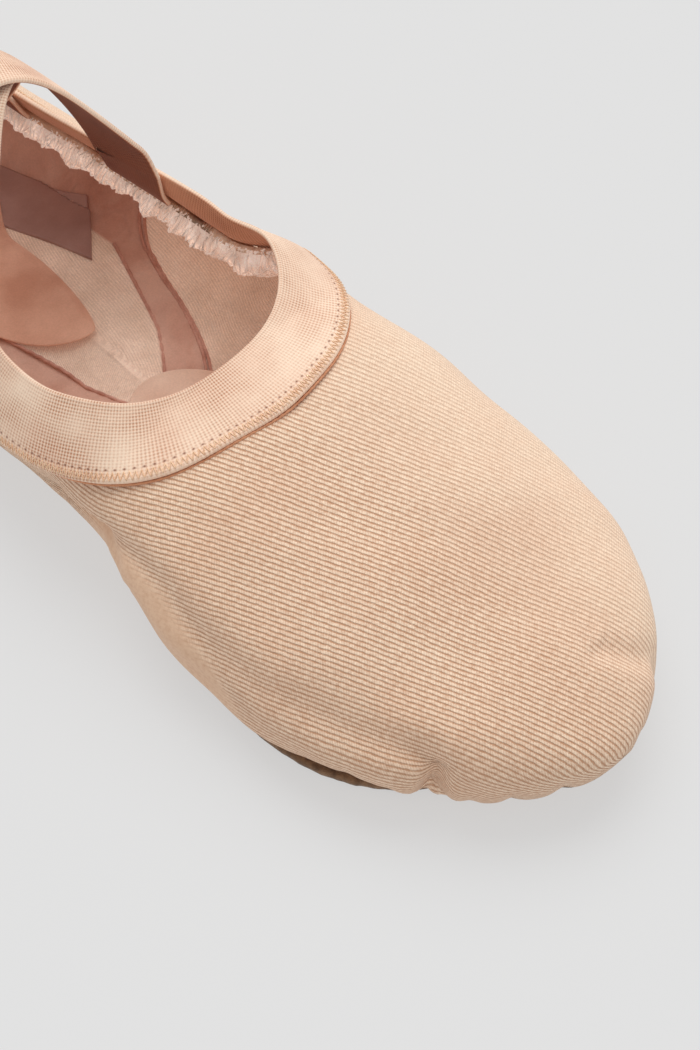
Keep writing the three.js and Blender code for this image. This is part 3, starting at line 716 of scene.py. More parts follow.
def build_elastic():
    material, tree, shader = new_cloth("woven_elastic", 0.75, 0.1)
    along, across, side = cloth_place(tree)
    weft_count = calc(tree, "MULTIPLY", along, 1 / ELASTIC_ROW_MM)
    warp_count = calc(tree, "MULTIPLY", across, 1 / ELASTIC_WARP_MM)
    wefts = use_group(tree, thread_rows, {"Count": weft_count} | WEFT_ROWS)["Furrow"]
    warps = use_group(tree, thread_rows, {"Count": warp_count} | WARP_ROWS)["Furrow"]
    slub = use_group(tree, slubby_yarn, {"Count": calc(tree, "MULTIPLY", across, SLUBS_ACROSS_MM),
                                         "Along": along, "Slub Length": SLUB_LENGTH_MM})["Slub"]
    lines = calc(tree, "MULTIPLY_ADD", wefts, WEFT_DARK, calc(tree, "MULTIPLY", warps, WARP_DARK))
    pinholes = calc(tree, "MULTIPLY", calc(tree, "MULTIPLY", wefts, warps), PINHOLE_DARK)
    woven = calc(tree, "ADD", lines, pinholes, clamp=True)
    pulled = noise_at(tree, object_place(tree), STRETCH_SCALE, 2.0)
    stretch = spread(tree, pulled, 0.38, 0.62, STRETCH_LEAST, STRETCH_MOST)
    dark = calc(tree, "MULTIPLY", woven, calc(tree, "MULTIPLY_ADD", slub, SLUB_OPEN, SLUB_BASE))
    dark = calc(tree, "MULTIPLY", dark, stretch)
    dyed = use_group(tree, uneven_dye, ELASTIC_DYE)
    # Painted shade: the inner faces are darker and browner, a strap's inner face darkest
    face = blend_colours(tree, calc(tree, "MINIMUM", side, 1.0), dyed["Color"], ELASTIC_INSIDE_SHADE)
    shaded_face = blend_colours(tree, calc(tree, "SUBTRACT", side, 1.0, clamp=True), face, ELASTIC_SHADE_AND_HOLES)
    gap = blend_colours(tree, 1.0, shaded_face, ELASTIC_GAP, "MULTIPLY")
    thread = blend_colours(tree, calc(tree, "MULTIPLY", dark, GAP_DARK, clamp=True), shaded_face, gap)
    colour = blend_colours(tree, needle_holes(tree, along, across, side), thread, ELASTIC_SHADE_AND_HOLES)
    height = calc(tree, "MULTIPLY_ADD", dark, -WEAVE_HEIGHT_MM,
                  calc(tree, "MULTIPLY", dyed["Fibre"], ELASTIC_FUZZ_MM))
    # Painted light: the collar's inner face glows faintly with its own colour
    band_inside = calc(tree, "MULTIPLY", side, calc(tree, "SUBTRACT", 2.0, side), clamp=True)
    finish_cloth(tree, shader, colour, height, blend_colours(tree, band_inside, BLACK, colour), BAND_GLOW)
    return material


elastic_cloth = build_elastic()
print(elastic_cloth.name, "has", len(elastic_cloth.node_tree.nodes), "nodes")

# %% [markdown]
# ### Suede, socks, threads and label
# The suede of the patches, the two socks, the threads and the label need no rows. Each could have
# a graph of its own, but they differ only in numbers, so they share one builder: an uneven dye, a
# nap or crumple as deep as the noise that makes it, and a little light through the thin ones.

# %% Plain cloths
def build_plain(name, colour, patch_colour, patches, fibres, nap, roughness=0.92, sheen=0.15, glow=0.0):
    """patches: how strong they are and how many a metre. nap: its height in mm, how many a metre."""
    material, tree, shader = new_cloth(name, roughness, sheen)
    dyed = use_group(tree, uneven_dye, {"Color": srgb(*colour), "Patch Color": srgb(*patch_colour),
                                        "Patches": patches[0], "Patch Scale": patches[1],
                                        "Fibres": fibres})
    fluff = noise_at(tree, object_place(tree), nap[1], 5.0, Roughness=0.65)
    through = blend_colours(tree, 1.0, dyed["Color"], LIGHT_THROUGH, "MULTIPLY") if glow else None
    finish_cloth(tree, shader, dyed["Color"], calc(tree, "MULTIPLY", fluff, nap[0]), through, glow)
    return material


suede = build_plain("napped_suede", (148, 114, 86), (98, 72, 54), (1.0, 420.0), 0.4, (0.3, 1500.0))
sock_cloth = build_plain("sock_cloth", (236, 204, 182), (212, 168, 144), (0.8, 75.0), 0.18, (0.3, 260.0))
heel_cloth = build_plain("heel_sock_cloth", (234, 186, 160), (196, 140, 114), (0.9, 60.0), 0.16,
                         (0.5, 170.0), glow=0.06)
serging_thread = build_plain("serging_thread", (250, 238, 228), (214, 188, 170), (0.8, 260.0), 0.4,
                             (0.1, 2200.0), glow=0.26)
seam_thread = build_plain("seam_thread", (222, 160, 122), (196, 130, 94), (0.8, 200.0), 0.3,
                          (0.05, 2500.0))
zigzag_thread = build_plain("zigzag_thread", (248, 214, 180), (230, 182, 142), (0.8, 200.0), 0.3,
                            (0.05, 2500.0))
lining_seam_cloth = build_plain("lining_seam_cloth", (212, 160, 142), (184, 128, 110), (0.9, 300.0),
                                0.3, (0.05, 2500.0))
label_satin = build_plain("bare_label", (188, 152, 142), (160, 122, 112), (0.8, 90.0), 0.1,
                          (0.15, 300.0), roughness=0.6, sheen=0.05)
print("materials:", [m.name for m in bpy.data.materials])

# %% [markdown]
# ## Places round the collar
# The collar's top edge is a closed curve on the last. Everything sewn to it, the band, the serged
# edge, the straps and the zigzag, is placed by two numbers: how far round the collar, and how far
# below its top edge. The curve is the same Catmull-Rom curve that the CAD model uses, and each
# deeper loop is found by walking down the last from the one above it.

# %% The collar's loops
LOOP_COUNT = 144
FINE_COUNT = 576
WALK_MM = 0.5
HIGHEST_MM, LOWEST_MM = -2.0, 17.5


def catmull_rom(points, per_span):
    """A closed centripetal Catmull-Rom curve through points, per_span samples between each two."""
    out = []
    for i in range(len(points)):
        p = [points[(i + k) % len(points)] for k in (-1, 0, 1, 2)]
        t = [math.sqrt(np.linalg.norm(p[k + 1] - p[k])) for k in range(3)]
        t1 = (p[1] - p[0]) / t[0] - (p[2] - p[0]) / (t[0] + t[1]) + (p[2] - p[1]) / t[1]
        t2 = (p[2] - p[1]) / t[1] - (p[3] - p[1]) / (t[1] + t[2]) + (p[3] - p[2]) / t[2]
        t1, t2 = t1 * t[1], t2 * t[1]
        u = (np.arange(per_span) / per_span)[:, None]
        out.append(p[1] + t1 * u + (-3 * p[1] + 3 * p[2] - 2 * t1 - t2) * u**2
                   + (2 * p[1] - 2 * p[2] + t1 + t2) * u**3)
    return np.concatenate(out)


def spaced(closed_line, count):
    """Points at even distances round a closed line, starting at its first point."""
    ring = np.concatenate([closed_line, closed_line[:1]])
    along = travelled(ring)
    wanted = np.arange(count) / count * along[-1]
    return np.stack([np.interp(wanted, along, ring[:, k]) for k in range(ring.shape[1])], -1)


print(LOOP_COUNT, "points round each loop of the collar")


# %% Walking over the last, and all loops of the collar
def place_at(x, y):
    """The run and angle of a point of the upper half of the last, seen from above."""
    at = (x + HALF) / LENGTH
    s = section(at)
    share = np.minimum(1, np.abs(y) / s["half"])
    return run_of(at), np.pi / 2 + np.sign(y) * np.arcsin(share ** (s["power"] / 2))


def moved(run, angle, step):
    """A place moved by a vector that lies in the surface."""
    along, around = directions(run, angle)
    a, b, c = (along * along).sum(-1), (along * around).sum(-1), (around * around).sum(-1)
    p, q = (along * step).sum(-1), (around * step).sum(-1)
    det = a * c - b * b
    return run + (p * c - q * b) / det, angle + (q * a - p * b) / det


def walk(run, angle, step):
    points = on_last(run, angle)
    down = unit(np.cross(np.roll(points, -1, 0) - np.roll(points, 1, 0), normal_at(run, angle)))
    return moved(run, angle, down * step)


def build_collar_loops():
    front, back = HALF - THROAT_TO_TOE, -HALF + COLLAR_TO_HEEL
    left = np.stack([front + (back - front) * OPENING[:, 0], OPENING[:, 1] * BALL_WIDTH / 2], -1)
    right = (left[1:-1] * (1, -1))[::-1]
    plan = spaced(catmull_rom(np.concatenate([left, right]), 40), LOOP_COUNT)
    top = place_at(plan[:, 0], plan[:, 1])
    loops = {0.0: top}
    for sign, limit in ((1, LOWEST_MM), (-1, -HIGHEST_MM)):
        place = top
        for k in range(1, int(round(limit / WALK_MM)) + 1):
            place = walk(*place, sign * WALK_MM)
            loops[sign * k * WALK_MM] = place
    depths = sorted(loops)
    return np.array(depths), np.array([np.stack(loops[d], -1) for d in depths])


collar_depths, collar_places = build_collar_loops()
top_line = on_last(*collar_places[np.searchsorted(collar_depths, 0.0)].T)
COLLAR_MM = float(np.linalg.norm(np.roll(top_line, -1, 0) - top_line, axis=1).sum())
print("collar's top edge is", round(COLLAR_MM), "mm round")


# %% A place from how far round and how far below
def between(p, f):
    """A place on the smooth curve through four others, at a share f of the way from p[1] to p[2]."""
    return (p[1] + 0.5 * f * (p[2] - p[0] + f * (2 * p[0] - 5 * p[1] + 4 * p[2] - p[3]
            + f * (3 * (p[1] - p[2]) + p[3] - p[0]))))


def collar_place(around, depth):
    """around: share of the way round from the throat, left side first. depth: mm below the top."""
    around, depth = np.broadcast_arrays(np.asarray(around, float), np.asarray(depth, float))
    u = (around % 1) * LOOP_COUNT
    i = np.floor(u).astype(int)
    f = (u - i)[..., None]
    k = np.clip((depth - collar_depths[0]) / WALK_MM, 0, len(collar_depths) - 1.001)
    j = np.floor(k).astype(int)
    g = (k - j)[..., None]

    def row(level):
        return between([collar_places[level, (i + s) % LOOP_COUNT] for s in (-1, 0, 1, 2)], f)

    place = row(j) * (1 - g) + row(j + 1) * g
    return place[..., 0], place[..., 1]


def on_collar(around, depth, grow):
    return grown(*collar_place(around, depth), grow)


print("the collar's throat is at", on_collar(0.0, 0.0, 0.0).round(1))


# %% [markdown]
# ## Creases of the canvas
# The canvas is stretched smooth over the vamp, but a few creases give the slipper its character:
# a notch at the near waist, a trough along the sole's edge that ends in a pinched pocket, pleats
# all round the toe where the cloth is gathered under the patch, and a dent beside the toe's tip.
# They could be simulated, but the pattern in the photograph is one exact accident, so each crease
# is given as a path on the cloth with its own width and depth.

# %% Creases placed one by one
# Paths are in millimetres: x along the shoe, s round it from the crown, + towards the left side
def path_distance(x, s, path):
    """Distance to a path, and the value of its third column at the nearest point."""
    best = np.full(x.shape, np.inf)
    value = np.zeros(x.shape)
    for (x0, s0, v0), (x1, s1, v1) in zip(path[:-1], path[1:]):
        dx, ds = x1 - x0, s1 - s0
        t = np.clip(((x - x0) * dx + (s - s0) * ds) / (dx * dx + ds * ds), 0, 1)
        d = np.hypot(x - x0 - t * dx, s - s0 - t * ds)
        near = d < best
        best = np.where(near, d, best)
        value = np.where(near, v0 + t * (v1 - v0), value)
    return best, value


# %% Each crease: half width, then its path of (x, s, depth); a negative depth is a ridge
CREASES = (
    (2.6, ((4, -52, 0.3), (10.4, -47.8, 0.9), (16, -43.3, 1.1), (26, -41.5, 0.8), (36, -41.5, 0.6),
           (44, -44, 0.5), (52, -46.5, 0.2))),
    (3.2, ((18, -50, -0.5), (30, -49, -0.7), (42, -51, -0.4))),
    (10.0, ((-14, -57, 1.6), (0, -55, 3.0), (12, -53, 2.8), (24, -53, 1.2))),
    (2.2, ((-3.9, -56, 0.2), (6, -50, 0.7), (14, -46, 0.9), (20, -47, 0.5))),
    (3.4, ((33, -46, 0.2), (52, -43.9, 0.5), (62, -43, 0.55), (77, -38.5, 0.6), (87, -35, 0.8),
           (94, -32, 1.0))),
    (1.8, ((95.5, -44, 1.7), (97.0, -38, 2.2), (97.6, -34, 2.1), (98.0, -30.5, 1.2), (98.2, -27, 0.0))),
    (3.4, ((84, -33, 0.3), (91, -31, 0.9), (96, -30, 1.4), (99, -29, 0.8))),
    (5.0, ((66, -47, -0.5), (78, -45, -0.9), (89, -42, -0.9))),
    (3.0, ((101.0, 9.5, 0.2), (102.7, 9.5, 0.7), (105.3, 12.2, 1.0), (107.9, 15.2, 1.0),
           (109, 21.4, 0.7))),
    (2.4, ((-20, 50, 0.2), (-6, 47, 0.6), (6, 45, 0.3))),
    (2.4, ((-24, -52, 0.5), (-40, -50, 0.6), (-52, -50, 0.2))),
    (2.8, ((-30, 52, 0.5), (-48, 50, 0.7), (-62, 49, 0.2))),
)
CREASE_GAIN = 1.7
SOFT_WAVES = ((0.42, 40, 3), (0.16, 15, 4))  # height, wavelength and seed of each
PLEAT_CENTRE_X = 62.0
PLEAT_ANGLES = (-74, -61, -50, -41.5, -31, -22, -12, -3, 7, 16, 27, 36, 47, 57, 68, 80)
PLEAT_TURN, PLEAT_DEPTH, PLEAT_TUCK = 2.0, 1.5, 0.3
PLEAT_LOW, PLEAT_HIGH = 4.0, 15
PLEAT_FROM_X, PLEAT_FULL_X = 66, 100
FLANK_ROLL, FLANK_ROLL_Z, FLANK_ROLL_HALF = 1.2, 6.5, 3.2
FLANK_FROM_X, FLANK_TO_X = (6, 22), (60, 84)


def crease_height(x, s, points):
    """How far the canvas is pushed out at each point of the last, in millimetres."""
    height = sum(tall * soft_noise(points, wave, seed) for tall, wave, seed in SOFT_WAVES)
    for half_width, path in CREASES:
        distance, depth = path_distance(x, s, path)
        height = height - CREASE_GAIN * depth * np.exp(-((distance / half_width) ** 2))
    turn = np.degrees(np.arctan2(points[..., 1], points[..., 0] - PLEAT_CENTRE_X))
    low = 1 - smooth_step(points[..., 2], PLEAT_LOW, PLEAT_HIGH)
    front = smooth_step(points[..., 0], PLEAT_FROM_X, PLEAT_FULL_X)
    gather = np.zeros_like(x)
    for k, centre in enumerate(PLEAT_ANGLES):
        own = 0.65 + 0.35 * math.sin(2.4 * k + 0.5)
        gather = gather - own * np.exp(-(((turn - centre) / PLEAT_TURN) ** 2))
    along_side = smooth_step(x, *FLANK_FROM_X) * (1 - smooth_step(points[..., 0], *FLANK_TO_X))
    roll = np.exp(-(((points[..., 2] - FLANK_ROLL_Z) / FLANK_ROLL_HALF) ** 2))
    return height + FLANK_ROLL * roll * along_side + (gather - PLEAT_TUCK) * PLEAT_DEPTH * low * front


print(len(CREASES), "creases and", len(PLEAT_ANGLES), "pleats")


# %% [markdown]
# ## The canvas upper
# The upper is one skin of canvas from the heel to the toe, open at the collar. A grid of even
# squares is laid on the last, cut along the collar's loop that lies 10 mm below the top of the
# elastic, and given a second skin 1.5 mm inside it, so that it is a real layer with an edge. A
# subdivided low mesh would round the pleats away, so the grid itself is about a millimetre fine.

# %% An even grid on the last
CANVAS_WALL = 1.5
CANVAS_EDGE_MM = 10.0
RIB_COUNTS = (-24.93, 40.74, -2.07, 2.15, -3.93)
RIB_SLANT = math.radians(24.8)
RIB_BEND_U, RIB_BEND_V = (-1.15, 0.85), (-1.2, 0.8)


def rib_count(x, s):
    """How many ribs lie between a point of the cloth and the middle of the vamp."""
    u, v = (x - 60) / 60, s / 45
    a, b, c, d, e = RIB_COUNTS
    # The ribs bend over the vamp only, and run straight on from there
    p, q = np.clip(u, *RIB_BEND_U), np.clip(v, *RIB_BEND_V)
    count = a * p + b * q + c * p * p + d * p * q + e * q * q
    return count + (a + 2 * c * p + d * q) * (u - p) + (b + d * p + 2 * e * q) * (v - q)


def even_runs(step_front, step_back, dense=4000):
    """Stations at even steps along the crown and the ends, finer in front."""
    run = np.linspace(0.002, 0.998, dense)
    crown = on_last(run, np.full(dense, np.pi / 2))
    floor = on_last(run, np.full(dense, -np.pi / 2))
    side = on_last(run, np.zeros(dense))
    gone = np.maximum.reduce([np.linalg.norm(np.diff(p, axis=0), axis=1) for p in (crown, floor, side)])
    step = np.where(crown[1:, 0] > -12, step_front, step_back)
    along = np.concatenate([[0], np.cumsum(gone / step)])
    return np.interp(np.linspace(0, along[-1], int(along[-1]) + 1), along, run)


def even_grid(runs, shares, dense=721):
    """The angle and the distance from the crown line at each share of the way round."""
    angles = np.linspace(-np.pi / 2, 3 * np.pi / 2, dense)
    rings = on_last(*np.meshgrid(runs, angles, indexing="ij"))
    gone = np.cumsum(np.linalg.norm(np.diff(rings, axis=1), axis=2), axis=1)
    gone = np.concatenate([np.zeros((len(runs), 1)), gone], 1)
    gone -= gone[:, dense // 2][:, None]
    angle = np.stack([np.interp(shares * g[-1], g, angles) for g in gone])
    return angle, shares[None, :] * gone[:, -1:]


def shares_round(fine, coarse, bottom=0.64):
    """Shares of the way round from -1 to 1, fine over the top and sides, coarse below."""
    top = np.linspace(-bottom, bottom, fine)
    low = np.linspace(bottom, 1, coarse // 2 + 1)[1:]
    return np.concatenate([-low[::-1], top, low[:-1]])


runs = even_runs(0.85, 1.5)
shares = shares_round(130, 44)
grid_angle, grid_s = even_grid(runs, shares)
grid_run = np.broadcast_to(runs[:, None], grid_angle.shape)
print("canvas grid:", grid_run.shape)


# %% Cut the grid at the collar
def below_collar(points, depth):
    """How far points of the last lie below the collar's loop at a depth, on the surface."""
    share = np.arange(FINE_COUNT) / FINE_COUNT
    line = on_collar(share, depth, 0)
    down = unit(on_collar(share, depth + 0.5, 0) - on_collar(share, depth - 0.5, 0))
    out = np.empty(len(points))
    for k in range(0, len(points), 4000):
        gap = points[k:k + 4000, None, :] - line[None]
        near = (gap**2).sum(-1).argmin(1)
        out[k:k + 4000] = (gap[np.arange(len(near)), near] * down[near]).sum(-1)
    return out


def cut_sheet(faces, value, params):
    """Keeps what lies where value is positive, and cuts the faces that cross zero."""
    params = [list(p) for p in params]
    inside = value > 0
    count = inside[faces].sum(1)
    kept = faces[count == 4].tolist()
    made = {}

    def crossing(a, b):
        key = (min(a, b), max(a, b))
        if key not in made:
            t = value[a] / (value[a] - value[b])
            params.append([pa + t * (pb - pa) for pa, pb in zip(params[a], params[b])])
            made[key] = len(params) - 1
        return made[key]

    for face in faces[(count > 0) & (count < 4)].tolist():
        polygon = []
        for a, b in zip(face, face[1:] + face[:1]):
            if inside[a]:
                polygon.append(a)
            if inside[a] != inside[b]:
                polygon.append(crossing(a, b))
        if len(polygon) > 2:
            kept.append(polygon)
    used = sorted(set(v for face in kept for v in face))
    number = {old: new for new, old in enumerate(used)}
    return [[number[v] for v in face] for face in kept], np.array([params[v] for v in used])


# %% Two skins and the collar's cut
WALL_FROM_Z, OPENING_Z, OPENING_HALF = 20, 38, 30


def both_skins(faces, count):
    """The faces of a skin, of its inner copy, and of the rim that joins them."""
    edges = {}
    for face in faces:
        for a, b in zip(face, face[1:] + face[:1]):
            edges[(a, b)] = True
    rim = [[b, a, a + count, b + count] for a, b in edges if (b, a) not in edges]
    inner = [[v + count for v in reversed(face)] for face in faces]
    return faces + inner + rim


def build_canvas_sheet():
    rows, columns = grid_run.shape
    points = on_last(grid_run, grid_angle).reshape(-1, 3)
    faces = grid_faces(rows, columns, close_columns=True)
    near = points[:, 2] > WALL_FROM_Z
    value = np.full(len(points), 20.0)
    value[near] = below_collar(points[near], CANVAS_EDGE_MM)
    # The crown over the opening is far from the loop, so it is cut away by its place
    centre = np.abs(points[:, 1]) < OPENING_HALF
    over = near & centre & (points[:, 0] < 0) & (points[:, 2] > OPENING_Z)
    value[over] = np.minimum(value[over], -1)
    params = np.stack([grid_run.ravel(), grid_angle.ravel(), grid_s.ravel()], -1)
    faces, params = cut_sheet(faces, value, params)
    heel_ring, toe_ring = (np.flatnonzero(params[:, 0] == run).tolist() for run in (runs[0], runs[-1]))
    return faces + [heel_ring, toe_ring[::-1]], params


sheet_faces, sheet = build_canvas_sheet()
print("canvas sheet:", len(sheet_faces), "faces")


# %% Where the ribs, the lining and the patch are
FORE_SOLE = {"back": 0.0, "front": 99.0, "half": 39.6}
FORE_WIDEST = 0.385
FORE_CORNER = (2.2, 1.85)
SMOOTH_FLANK = ((6, -48), (16, -43.3), (26, -41.8), (36, -42), (44, -45), (52, -47.5), (60, -52))
LINING_SEAM = ((-44, 33.5), (-40.5, 28.5), (-35.2, 24.3), (-27.8, 21), (-19, 18.3), (-11.8, 15.6),
               (-7.2, 13.2), (-3.7, 10.2), (-1, 5), (0, 0))
# The bare insert under the arch, between two lines that meet in front
INSERT_NEAR = ((-40, -12), (-23.2, -9.2), (-17.5, -8.7), (-11.3, -6.1), (-5.0, -2.6))
INSERT_FAR = ((-40, 20), (-18, 10.8), (-13.4, 7.5), (-8.8, 3.8), (-5.0, -1.6))
INSERT_TIP = -4.6


def lined(x, y):
    """How far a point of the inside lies within the pink lining, in millimetres in plan."""
    seam = np.array(LINING_SEAM)
    order = np.argsort(seam[:, 1])
    behind = np.interp(np.abs(y), seam[order, 1], seam[order, 0]) - x
    near, far = np.array(INSERT_NEAR), np.array(INSERT_FAR)
    out = np.maximum(np.interp(x, near[:, 0], near[:, 1]) - y, y - np.interp(x, far[:, 0], far[:, 1]))
    return np.minimum(behind, np.maximum(out, x - INSERT_TIP))


def over_patch(points):
    """1 where a point lies above the forefoot patch, with a soft border."""
    widest = FORE_SOLE["front"] - FORE_WIDEST * (FORE_SOLE["front"] - FORE_SOLE["back"])
    ahead = points[..., 0] >= widest
    reach = np.where(ahead, FORE_SOLE["front"] - widest, widest - FORE_SOLE["back"])
    power = np.where(ahead, *FORE_CORNER)
    share = (np.abs((points[..., 0] - widest) / reach) ** power
             + np.abs(points[..., 1] / FORE_SOLE["half"]) ** power)
    return 1 - smooth_step(share, 1.0, 1.12)


def ribs_shown(x, s):
    """The ribs fade where the flank below the crease is rubbed smooth."""
    edge = np.interp(x, *zip(*SMOOTH_FLANK))
    under = smooth_step(edge - s, -0.5, 3.5)
    along = smooth_step(x, 2, 14) * (1 - smooth_step(x, 50, 66))
    return 1 - 0.92 * under * along


print("forefoot patch:", FORE_SOLE["front"] - FORE_SOLE["back"], "mm long,", 2 * FORE_SOLE["half"], "mm wide")


# %% The upper, outside and inside
def build_upper():
    run, angle, s = sheet.T
    points = on_last(run, angle)
    normals = normal_at(run, angle)
    height = crease_height(points[:, 0], s, points)
    level = (1 - smooth_step(points[:, 2], 3.0, 6.0)) * over_patch(points)
    height = np.where(level > 0, np.minimum(height, 0) * (1 - level), height)
    outside = points + normals * height[:, None]
    outside[:, 2] = np.maximum(outside[:, 2], 0.3)
    inside = points + normals * (height - CANVAS_WALL)[:, None]
    count = rib_count(points[:, 0], s)
    along = points[:, 0] * math.cos(RIB_SLANT) + s * math.sin(RIB_SLANT)
    shown = ribs_shown(points[:, 0], s)
    behind = lined(inside[:, 0], inside[:, 1])
    cloth = np.concatenate([np.stack([count, along, shown], -1), np.stack([count, along, behind], -1)])
    faces = both_skins(sheet_faces, len(sheet))
    piece = make_piece("canvas_upper", np.concatenate([outside, inside]), faces, canvas_cloth,
                       cloth, ["upper"])
    piece.data.materials.append(lining_cloth)
    inner = np.zeros(len(piece.data.polygons), np.int32)
    inner[len(sheet_faces):2 * len(sheet_faces)] = 1
    piece.data.polygons.foreach_set("material_index", inner)
    return piece


canvas_upper = build_upper()

# %% [markdown]
# ## The elastic collar
# The collar is a band of woven elastic, 15.5 mm wide, laid over the canvas edge and stretched as
# it is sewn, so its lower edge waves a little between the stitches. It is a ring of one profile:
# two faces, a rolled top edge and a thicker selvedge below. The profile is placed by depth below
# the collar's top edge, so that the band turns with the surface.

# %% The band
BAND_WIDTH, BAND_GAP, ELASTIC_THICKNESS = 15.5, 0.3, 1.1
BAND_ROUND = 720
BAND_ACROSS = 24
EDGE_REACH = 7.0


def at_edge(depth):
    """0 over most of the band, rising to 1 at its lower edge."""
    return smooth_step(depth, BAND_WIDTH - EDGE_REACH, BAND_WIDTH)


def edge_wave(around):
    """How far the band's lower edge hangs below its even line, in millimetres."""
    way = around * 2 * np.pi
    return 0.3 * np.sin(13 * way + 0.6) + 0.18 * np.sin(21 * way + 2.0)


def band_face(around, depth):
    """How far the band's outer face stands off its even surface, in millimetres."""
    way = np.asarray(around) * 2 * np.pi
    lift = 0.16 * at_edge(depth) * (1 + np.sin(17 * way + 1))
    return lift + 0.12 * np.sin(9 * way) * np.sin(math.pi * np.clip(depth / BAND_WIDTH, 0, 1))


def on_band(around, depth, above):
    """Points above the band's outer face, its lower edge waving as the real one does."""
    grow = BAND_GAP + ELASTIC_THICKNESS + band_face(around, depth) + above
    return on_collar(around, depth + at_edge(depth) * edge_wave(around), grow)


def build_band():
    low, high = BAND_GAP, BAND_GAP + ELASTIC_THICKNESS
    down = np.linspace(0.8, BAND_WIDTH - 0.9, BAND_ACROSS)
    profile = ([(0.35, low), (0.08, low + 0.2), (0.0, low + 0.6), (0.12, high - 0.12), (0.45, high + 0.05)]
               + [(d, high) for d in down]
               + [(BAND_WIDTH - 0.45, high), (BAND_WIDTH - 0.1, high - 0.25), (BAND_WIDTH, low + 0.45),
                  (BAND_WIDTH - 0.25, low)]
               + [(d, low) for d in down[::-2]])
    around = np.arange(BAND_ROUND) / BAND_ROUND
    rows, cloth = [], []
    for k, (depth, grow) in enumerate(profile):
        if grow > low + 0.3:
            rows.append(on_band(around, depth, grow - high))
        else:
            rows.append(on_collar(around, depth + at_edge(depth) * edge_wave(around), grow))
        # 1 marks the inner face, which the elastic's material paints in shade with a faint glow
        inside = 1.0 if grow <= low + 0.2 else 0.0
        from_throat = np.where(around > 0.5, around - 1, around) * COLLAR_MM
        cloth.append(np.stack([from_throat, np.full_like(around, depth), np.full_like(around, inside)], -1))
    faces = grid_faces(len(rows), BAND_ROUND, close_rows=True, close_columns=True)
    return make_piece("elastic_collar", np.concatenate(rows), faces.tolist(), elastic_cloth,
                      np.concatenate(cloth), ["collar_band"])


elastic_collar = build_band()

# %% [markdown]
# ## Straps
# Each strap is a flat elastic that leaves the inside of the collar, stands up, bends over in one
# arch and comes down inside the other side. The CAD model's arch is used again with a finer
# profile: rounded selvedges and a slight cup. The rings of the profile are then joined by a
# smooth curve through them, so that no facets show in the bend.

# %% Where the straps are sewn
STRAP_WIDTH, STRAP_FRONT_FROM_TOE, STRAP_REAR_FROM_TOE = 14.0, 152.0, 186.0
STRAP_TOP, STRAP_CROSSING_GAP, STRAP_PITCH, STRAP_STANDS = 70.0, 1.2, 0.15, 1.5
STRAP_INSET = 0.2
ARCH_ACROSS, ARCH_UP, ARCH_END_POWER, ARCH_STEPS = 1.9, 1.4, 6, 20
SEWN_DEPTHS = (9.2, 8.0, 6.0, 4.0, 2.0, 0.0, -STRAP_STANDS)
STRAP_PROFILE = np.array(
    [(w, 1.0) for w in np.linspace(0.95, -0.95, 13)] + [(-0.99, 0.55), (-1.0, 0.0), (-0.99, -0.55)]
    + [(w, -1.0) for w in np.linspace(-0.95, 0.95, 13)] + [(0.99, -0.55), (1.0, 0.0), (0.99, 0.55)])


def across_collar(from_toe, side, depth):
    """The place where a strap's middle crosses the collar at a depth, and its forward direction."""
    share = np.arange(LOOP_COUNT * 2) / (LOOP_COUNT * 2)
    run, angle = collar_place(share, depth)
    points = on_last(run, angle)
    x = HALF - from_toe
    off = np.where(points[:, 1] * side > 0, np.abs(points[:, 0] - x), np.inf)
    i = int(off.argmin())
    forward = unit(points[i] - points[(i + side) % len(points)])
    place = moved(run[i:i + 1], angle[i:i + 1], forward[None] * (x - points[i, 0]))
    return (place[0][0], place[1][0]), forward


def sewn_ring(from_toe, side, depth):
    (run, angle), forward = across_collar(from_toe, side, depth)
    w, t = STRAP_PROFILE.T
    count = len(w)
    place = moved(np.full(count, run), np.full(count, angle), forward[None] * (w * STRAP_WIDTH / 2)[:, None])
    return grown(*place, -STRAP_INSET - ELASTIC_THICKNESS / 2 + t * ELASTIC_THICKNESS / 2)


print("at a strap's front end the collar runs along", across_collar(STRAP_FRONT_FROM_TOE, 1, 0.0)[1].round(2))


# %% The arch between its sewn ends
def free_rings(start, finish, side, lower):
    """The rings of a strap between its two sewn ends, as one arch in even turns."""
    centres = [ring.mean(0) for ring in (start, finish)]
    wides = [unit(ring[0] - ring[12]) for ring in (start, finish)]
    (a, b), turn = centres, np.linspace(0, np.pi, ARCH_STEPS + 1)
    width, foot = (abs(a[1]) + abs(b[1])) / 2, (a[2] + b[2]) / 2
    out, rise = np.abs(np.cos(turn)) ** (2 / ARCH_ACROSS), np.sin(turn) ** (2 / ARCH_UP)
    own = out ** ARCH_END_POWER
    first = np.arange(ARCH_STEPS + 1) <= ARCH_STEPS / 2
    end_y, end_z = np.where(first, a[1], b[1]), np.where(first, a[2], b[2])
    y = np.sign(end_y) * out * (width + (np.abs(end_y) - width) * own)
    ground = foot + (end_z - foot) * own
    z = ground + (STRAP_TOP - ELASTIC_THICKNESS / 2 - ground) * rise
    gone = np.concatenate([[0], np.cumsum(np.hypot(np.diff(y), np.diff(z)))])
    x = a[0] + (b[0] - a[0]) * gone / gone[-1]
    z = z + STRAP_PITCH * rise * (x - (a[0] + b[0]) / 2)
    line = np.stack([x, y, z], -1)
    rings = []
    for k in range(1, ARCH_STEPS):
        tangent = unit(line[k + 1] - line[k - 1])
        wide = np.array([1, 0, STRAP_PITCH * rise[k]])
        wide = wide + (wides[0 if k <= ARCH_STEPS / 2 else 1] - wide) * own[k]
        wide = unit(wide - tangent * (wide @ tangent))
        outward = unit(np.cross(wide, tangent)) * -side
        centre = line[k] - outward * lower * (1 - own[k])
        w, t = STRAP_PROFILE.T
        cup = 0.25 * (1 - own[k]) * (1 - w**2)
        rings.append(centre + wide * (w * STRAP_WIDTH / 2)[:, None]
                     + outward * (t * ELASTIC_THICKNESS / 2 + cup)[:, None])
    return rings


